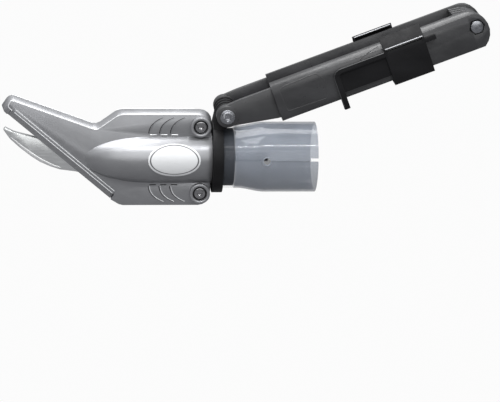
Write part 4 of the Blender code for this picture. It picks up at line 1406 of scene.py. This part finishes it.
    def plate_edge(self, side: Side) -> Piece:
        """A pale painted highlight along one guide's plate: at the near one's foot, or under the far one's
        crest.

        Args:
            side: Near or far guide.

        Returns:
            The edge.
        """
        near = side is Side.NEAR
        start = self.guide_start + (0.0 if near else self.far_shift)
        foot, crest = Vector(self.plate_foot), Vector(self.plate_crest)
        slope = (crest - foot).normalized()
        under = Vector((-slope.y, slope.x)) * self.plate_thickness
        spot = foot + slope * self.edge_inset if near else crest + under
        first, last = (self.world(start + share * self.guide_length, side.value * spot.x, spot.y)
                       for share in self.plate_ends)
        path = [first.lerp(last, k / self.plate_steps) for k in range(self.plate_steps + 1)]
        return swept(path, self.plate_radius, Tag(f"{side.word}_plate_edge", self.finishes.pale_edge,
                                                  "black_nylon", f"{side.word}_guide"))


@dataclass
class DriveEnd:
    """Neck, drive shaft, clamp ring, screws, nuts, seal, nameplate and sleeve."""

    finishes: Finishes
    refiner: Refiner
    neck_edge: float = 0.4
    ring_edge: float = 0.45
    shaft_edge: float = 0.25
    plate_edge: float = 0.15
    screw_edge: float = 0.3
    nut_edge: float = 0.25
    seal_edge: float = 0.2

    def build(self) -> None:
        """Makes the pieces."""
        refine, satin = self.refiner.refine, self.finishes.satin_nylon
        refine(self.neck_edge, "neck_housing", material=satin)
        refine(self.ring_edge, "clamp_ring", material=satin)
        refine(self.shaft_edge, "drive_shaft")
        refine(self.plate_edge, "nameplate")
        refine(self.screw_edge, "upper_casing_screw", "lower_casing_screw", material=self.finishes.screw)
        refine(self.nut_edge, "upper_casing_nut", "lower_casing_nut")
        refine(self.seal_edge, "shaft_seal")
        SleeveSkin(self.finishes).build()

    def dress_nodes(self) -> None:
        """Gives every node its slot's finish, which shows where nothing replaces the node."""
        for node, item in frame["nodes"].items():
            item.data.materials.clear()
            item.data.materials.append(self.finishes.of_slot(slots()[node]))
        LOG.info("%d nodes dressed", len(frame["nodes"]))


# ------------------------------------------------------------------ studio


@dataclass(frozen=True)
class Lamp:
    """A soft light: its place and its length and width in metres, and its power in watts."""

    name: str
    place: tuple[float, float, float]
    size: Point2
    power: float


@dataclass
class Studio:
    """Pale floor, soft lights and the camera."""

    camera_place: tuple[float, float, float] = (-0.16082, -1.53373, 0.42811)
    azimuth: float = 5.5
    elevation: float = 16.8
    lens: float = 144.0
    sensor: float = 36.0
    lamps: tuple[Lamp, ...] = (
        Lamp("top", (-0.2, 0.12, 1.1), (1.4, 0.7), 17.0),
        Lamp("front", (0.0, -1.7, 0.62), (1.8, 1.1), 9.0),
        Lamp("hairline", (0.05, -0.95, 1.2), (1.4, 0.03), 10.0),
    )
    aim: tuple[float, float, float] = (-0.03, 0.0, 0.03)
    room: Colour = (0.97, 0.98, 1.0)
    room_heights: Point2 = (-0.1, 0.9)
    horizon: float = 0.12
    zenith: float = 1.0
    floor_height: float = -0.16
    floor_half: float = 6.0
    floor_roughness: float = 0.9
    floor_bounce: Colour = (0.17, 0.17, 0.175)
    pale_look: Colour = (0.97, 0.97, 0.97)

    def build(self) -> None:
        """Makes the studio."""
        self.floor()
        self.camera()
        for lamp in self.lamps:
            self.light(lamp)
        self.world()
        bpy.context.scene.view_settings.view_transform = "Standard"

    def world(self) -> None:
        """A room that lights from overhead and is dim at the horizon, seen as a pale wall."""
        world = bpy.data.worlds.new("pale_room")
        world.use_nodes = True
        tree = Nodes(world.node_tree)
        split = tree.node("ShaderNodeSeparateXYZ")
        tree.link(tree.node("ShaderNodeTexCoord").outputs["Generated"], split.inputs["Vector"])
        background = tree.fill(tree.tree.nodes["Background"], Color=(*self.room, 1.0))
        tree.link(tree.ranged(split.outputs["Z"], self.horizon, self.zenith, *self.room_heights),
                  background.inputs["Strength"])
        wall = tree.fill(tree.node("ShaderNodeBackground"), Color=(*self.pale_look, 1.0))
        tree.link(tree.seen_as(background.outputs["Background"], wall.outputs["Background"]),
                  tree.tree.nodes["World Output"].inputs["Surface"])
        bpy.context.scene.world = world

    def floor(self) -> None:
        """The pale floor. It looks near white and throws little light up, so undersides stay dark."""
        graph = Graph("floor_paint")
        graph.fill(graph.shader, Roughness=self.floor_roughness, Specular_IOR_Level=0.0,
                   Base_Color=(*self.floor_bounce, 1.0))
        glow = graph.fill(graph.node("ShaderNodeEmission"), Color=(*self.pale_look, 1.0))
        graph.link(graph.seen_as(graph.shader.outputs["BSDF"], glow.outputs["Emission"]),
                   graph.tree.nodes["Material Output"].inputs["Surface"])
        bm = bmesh.new()
        bmesh.ops.create_grid(bm, x_segments=1, y_segments=1, size=self.floor_half)
        bmesh.ops.translate(bm, vec=(0.0, 0.0, self.floor_height), verts=bm.verts)
        mesh = bpy.data.meshes.new("floor")
        bm.to_mesh(mesh)
        bm.free()
        mesh.materials.append(graph.material)
        item = bpy.data.objects.new("floor", mesh)
        bpy.context.scene.collection.objects.link(item)

    def light(self, lamp: Lamp) -> None:
        """Hangs a light and aims it at the head.

        Args:
            lamp: The light.
        """
        data = bpy.data.lights.new(lamp.name, "AREA")
        data.shape, data.energy = "RECTANGLE", lamp.power
        data.size, data.size_y = lamp.size
        item = bpy.data.objects.new(lamp.name, data)
        item.location = lamp.place
        aim = Vector(self.aim) - Vector(lamp.place)
        item.rotation_euler = aim.to_track_quat("-Z", "Y").to_euler()
        bpy.context.scene.collection.objects.link(item)

    def camera(self) -> None:
        """The camera, turned so that the drive axis lies level in its view."""
        turn, drop = math.radians(self.azimuth), math.radians(self.elevation)
        ahead = Vector((math.sin(turn) * math.cos(drop), math.cos(turn) * math.cos(drop),
                        -math.sin(drop)))
        square = Vector((1.0, 0.0, 0.0)).cross(-Vector(self.camera_place)).normalized()
        right = square.cross(ahead).normalized()
        if right.x < 0:
            right.negate()
        up = right.cross(ahead)
        data = bpy.data.cameras.new("camera")
        data.lens, data.sensor_width = self.lens, self.sensor
        item = bpy.data.objects.new("camera", data)
        basis = Matrix((right, up, -ahead)).transposed().to_4x4()
        item.matrix_world = Matrix.Translation(self.camera_place) @ basis
        bpy.context.scene.collection.objects.link(item)
        bpy.context.scene.camera = item


def main() -> None:
    """Builds the looks."""
    logging.basicConfig(level=logging.INFO, format="%(name)s: %(message)s")
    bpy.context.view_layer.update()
    finishes = Finishes()
    refiner = Refiner(finishes)
    Studio().build()
    drive_end = DriveEnd(finishes, refiner)
    drive_end.dress_nodes()
    Casing(finishes, refiner).build()
    Blades(finishes, refiner).build()
    drive_end.build()
    Arm(finishes, refiner).build()


if __name__ == "__main__":
    main()
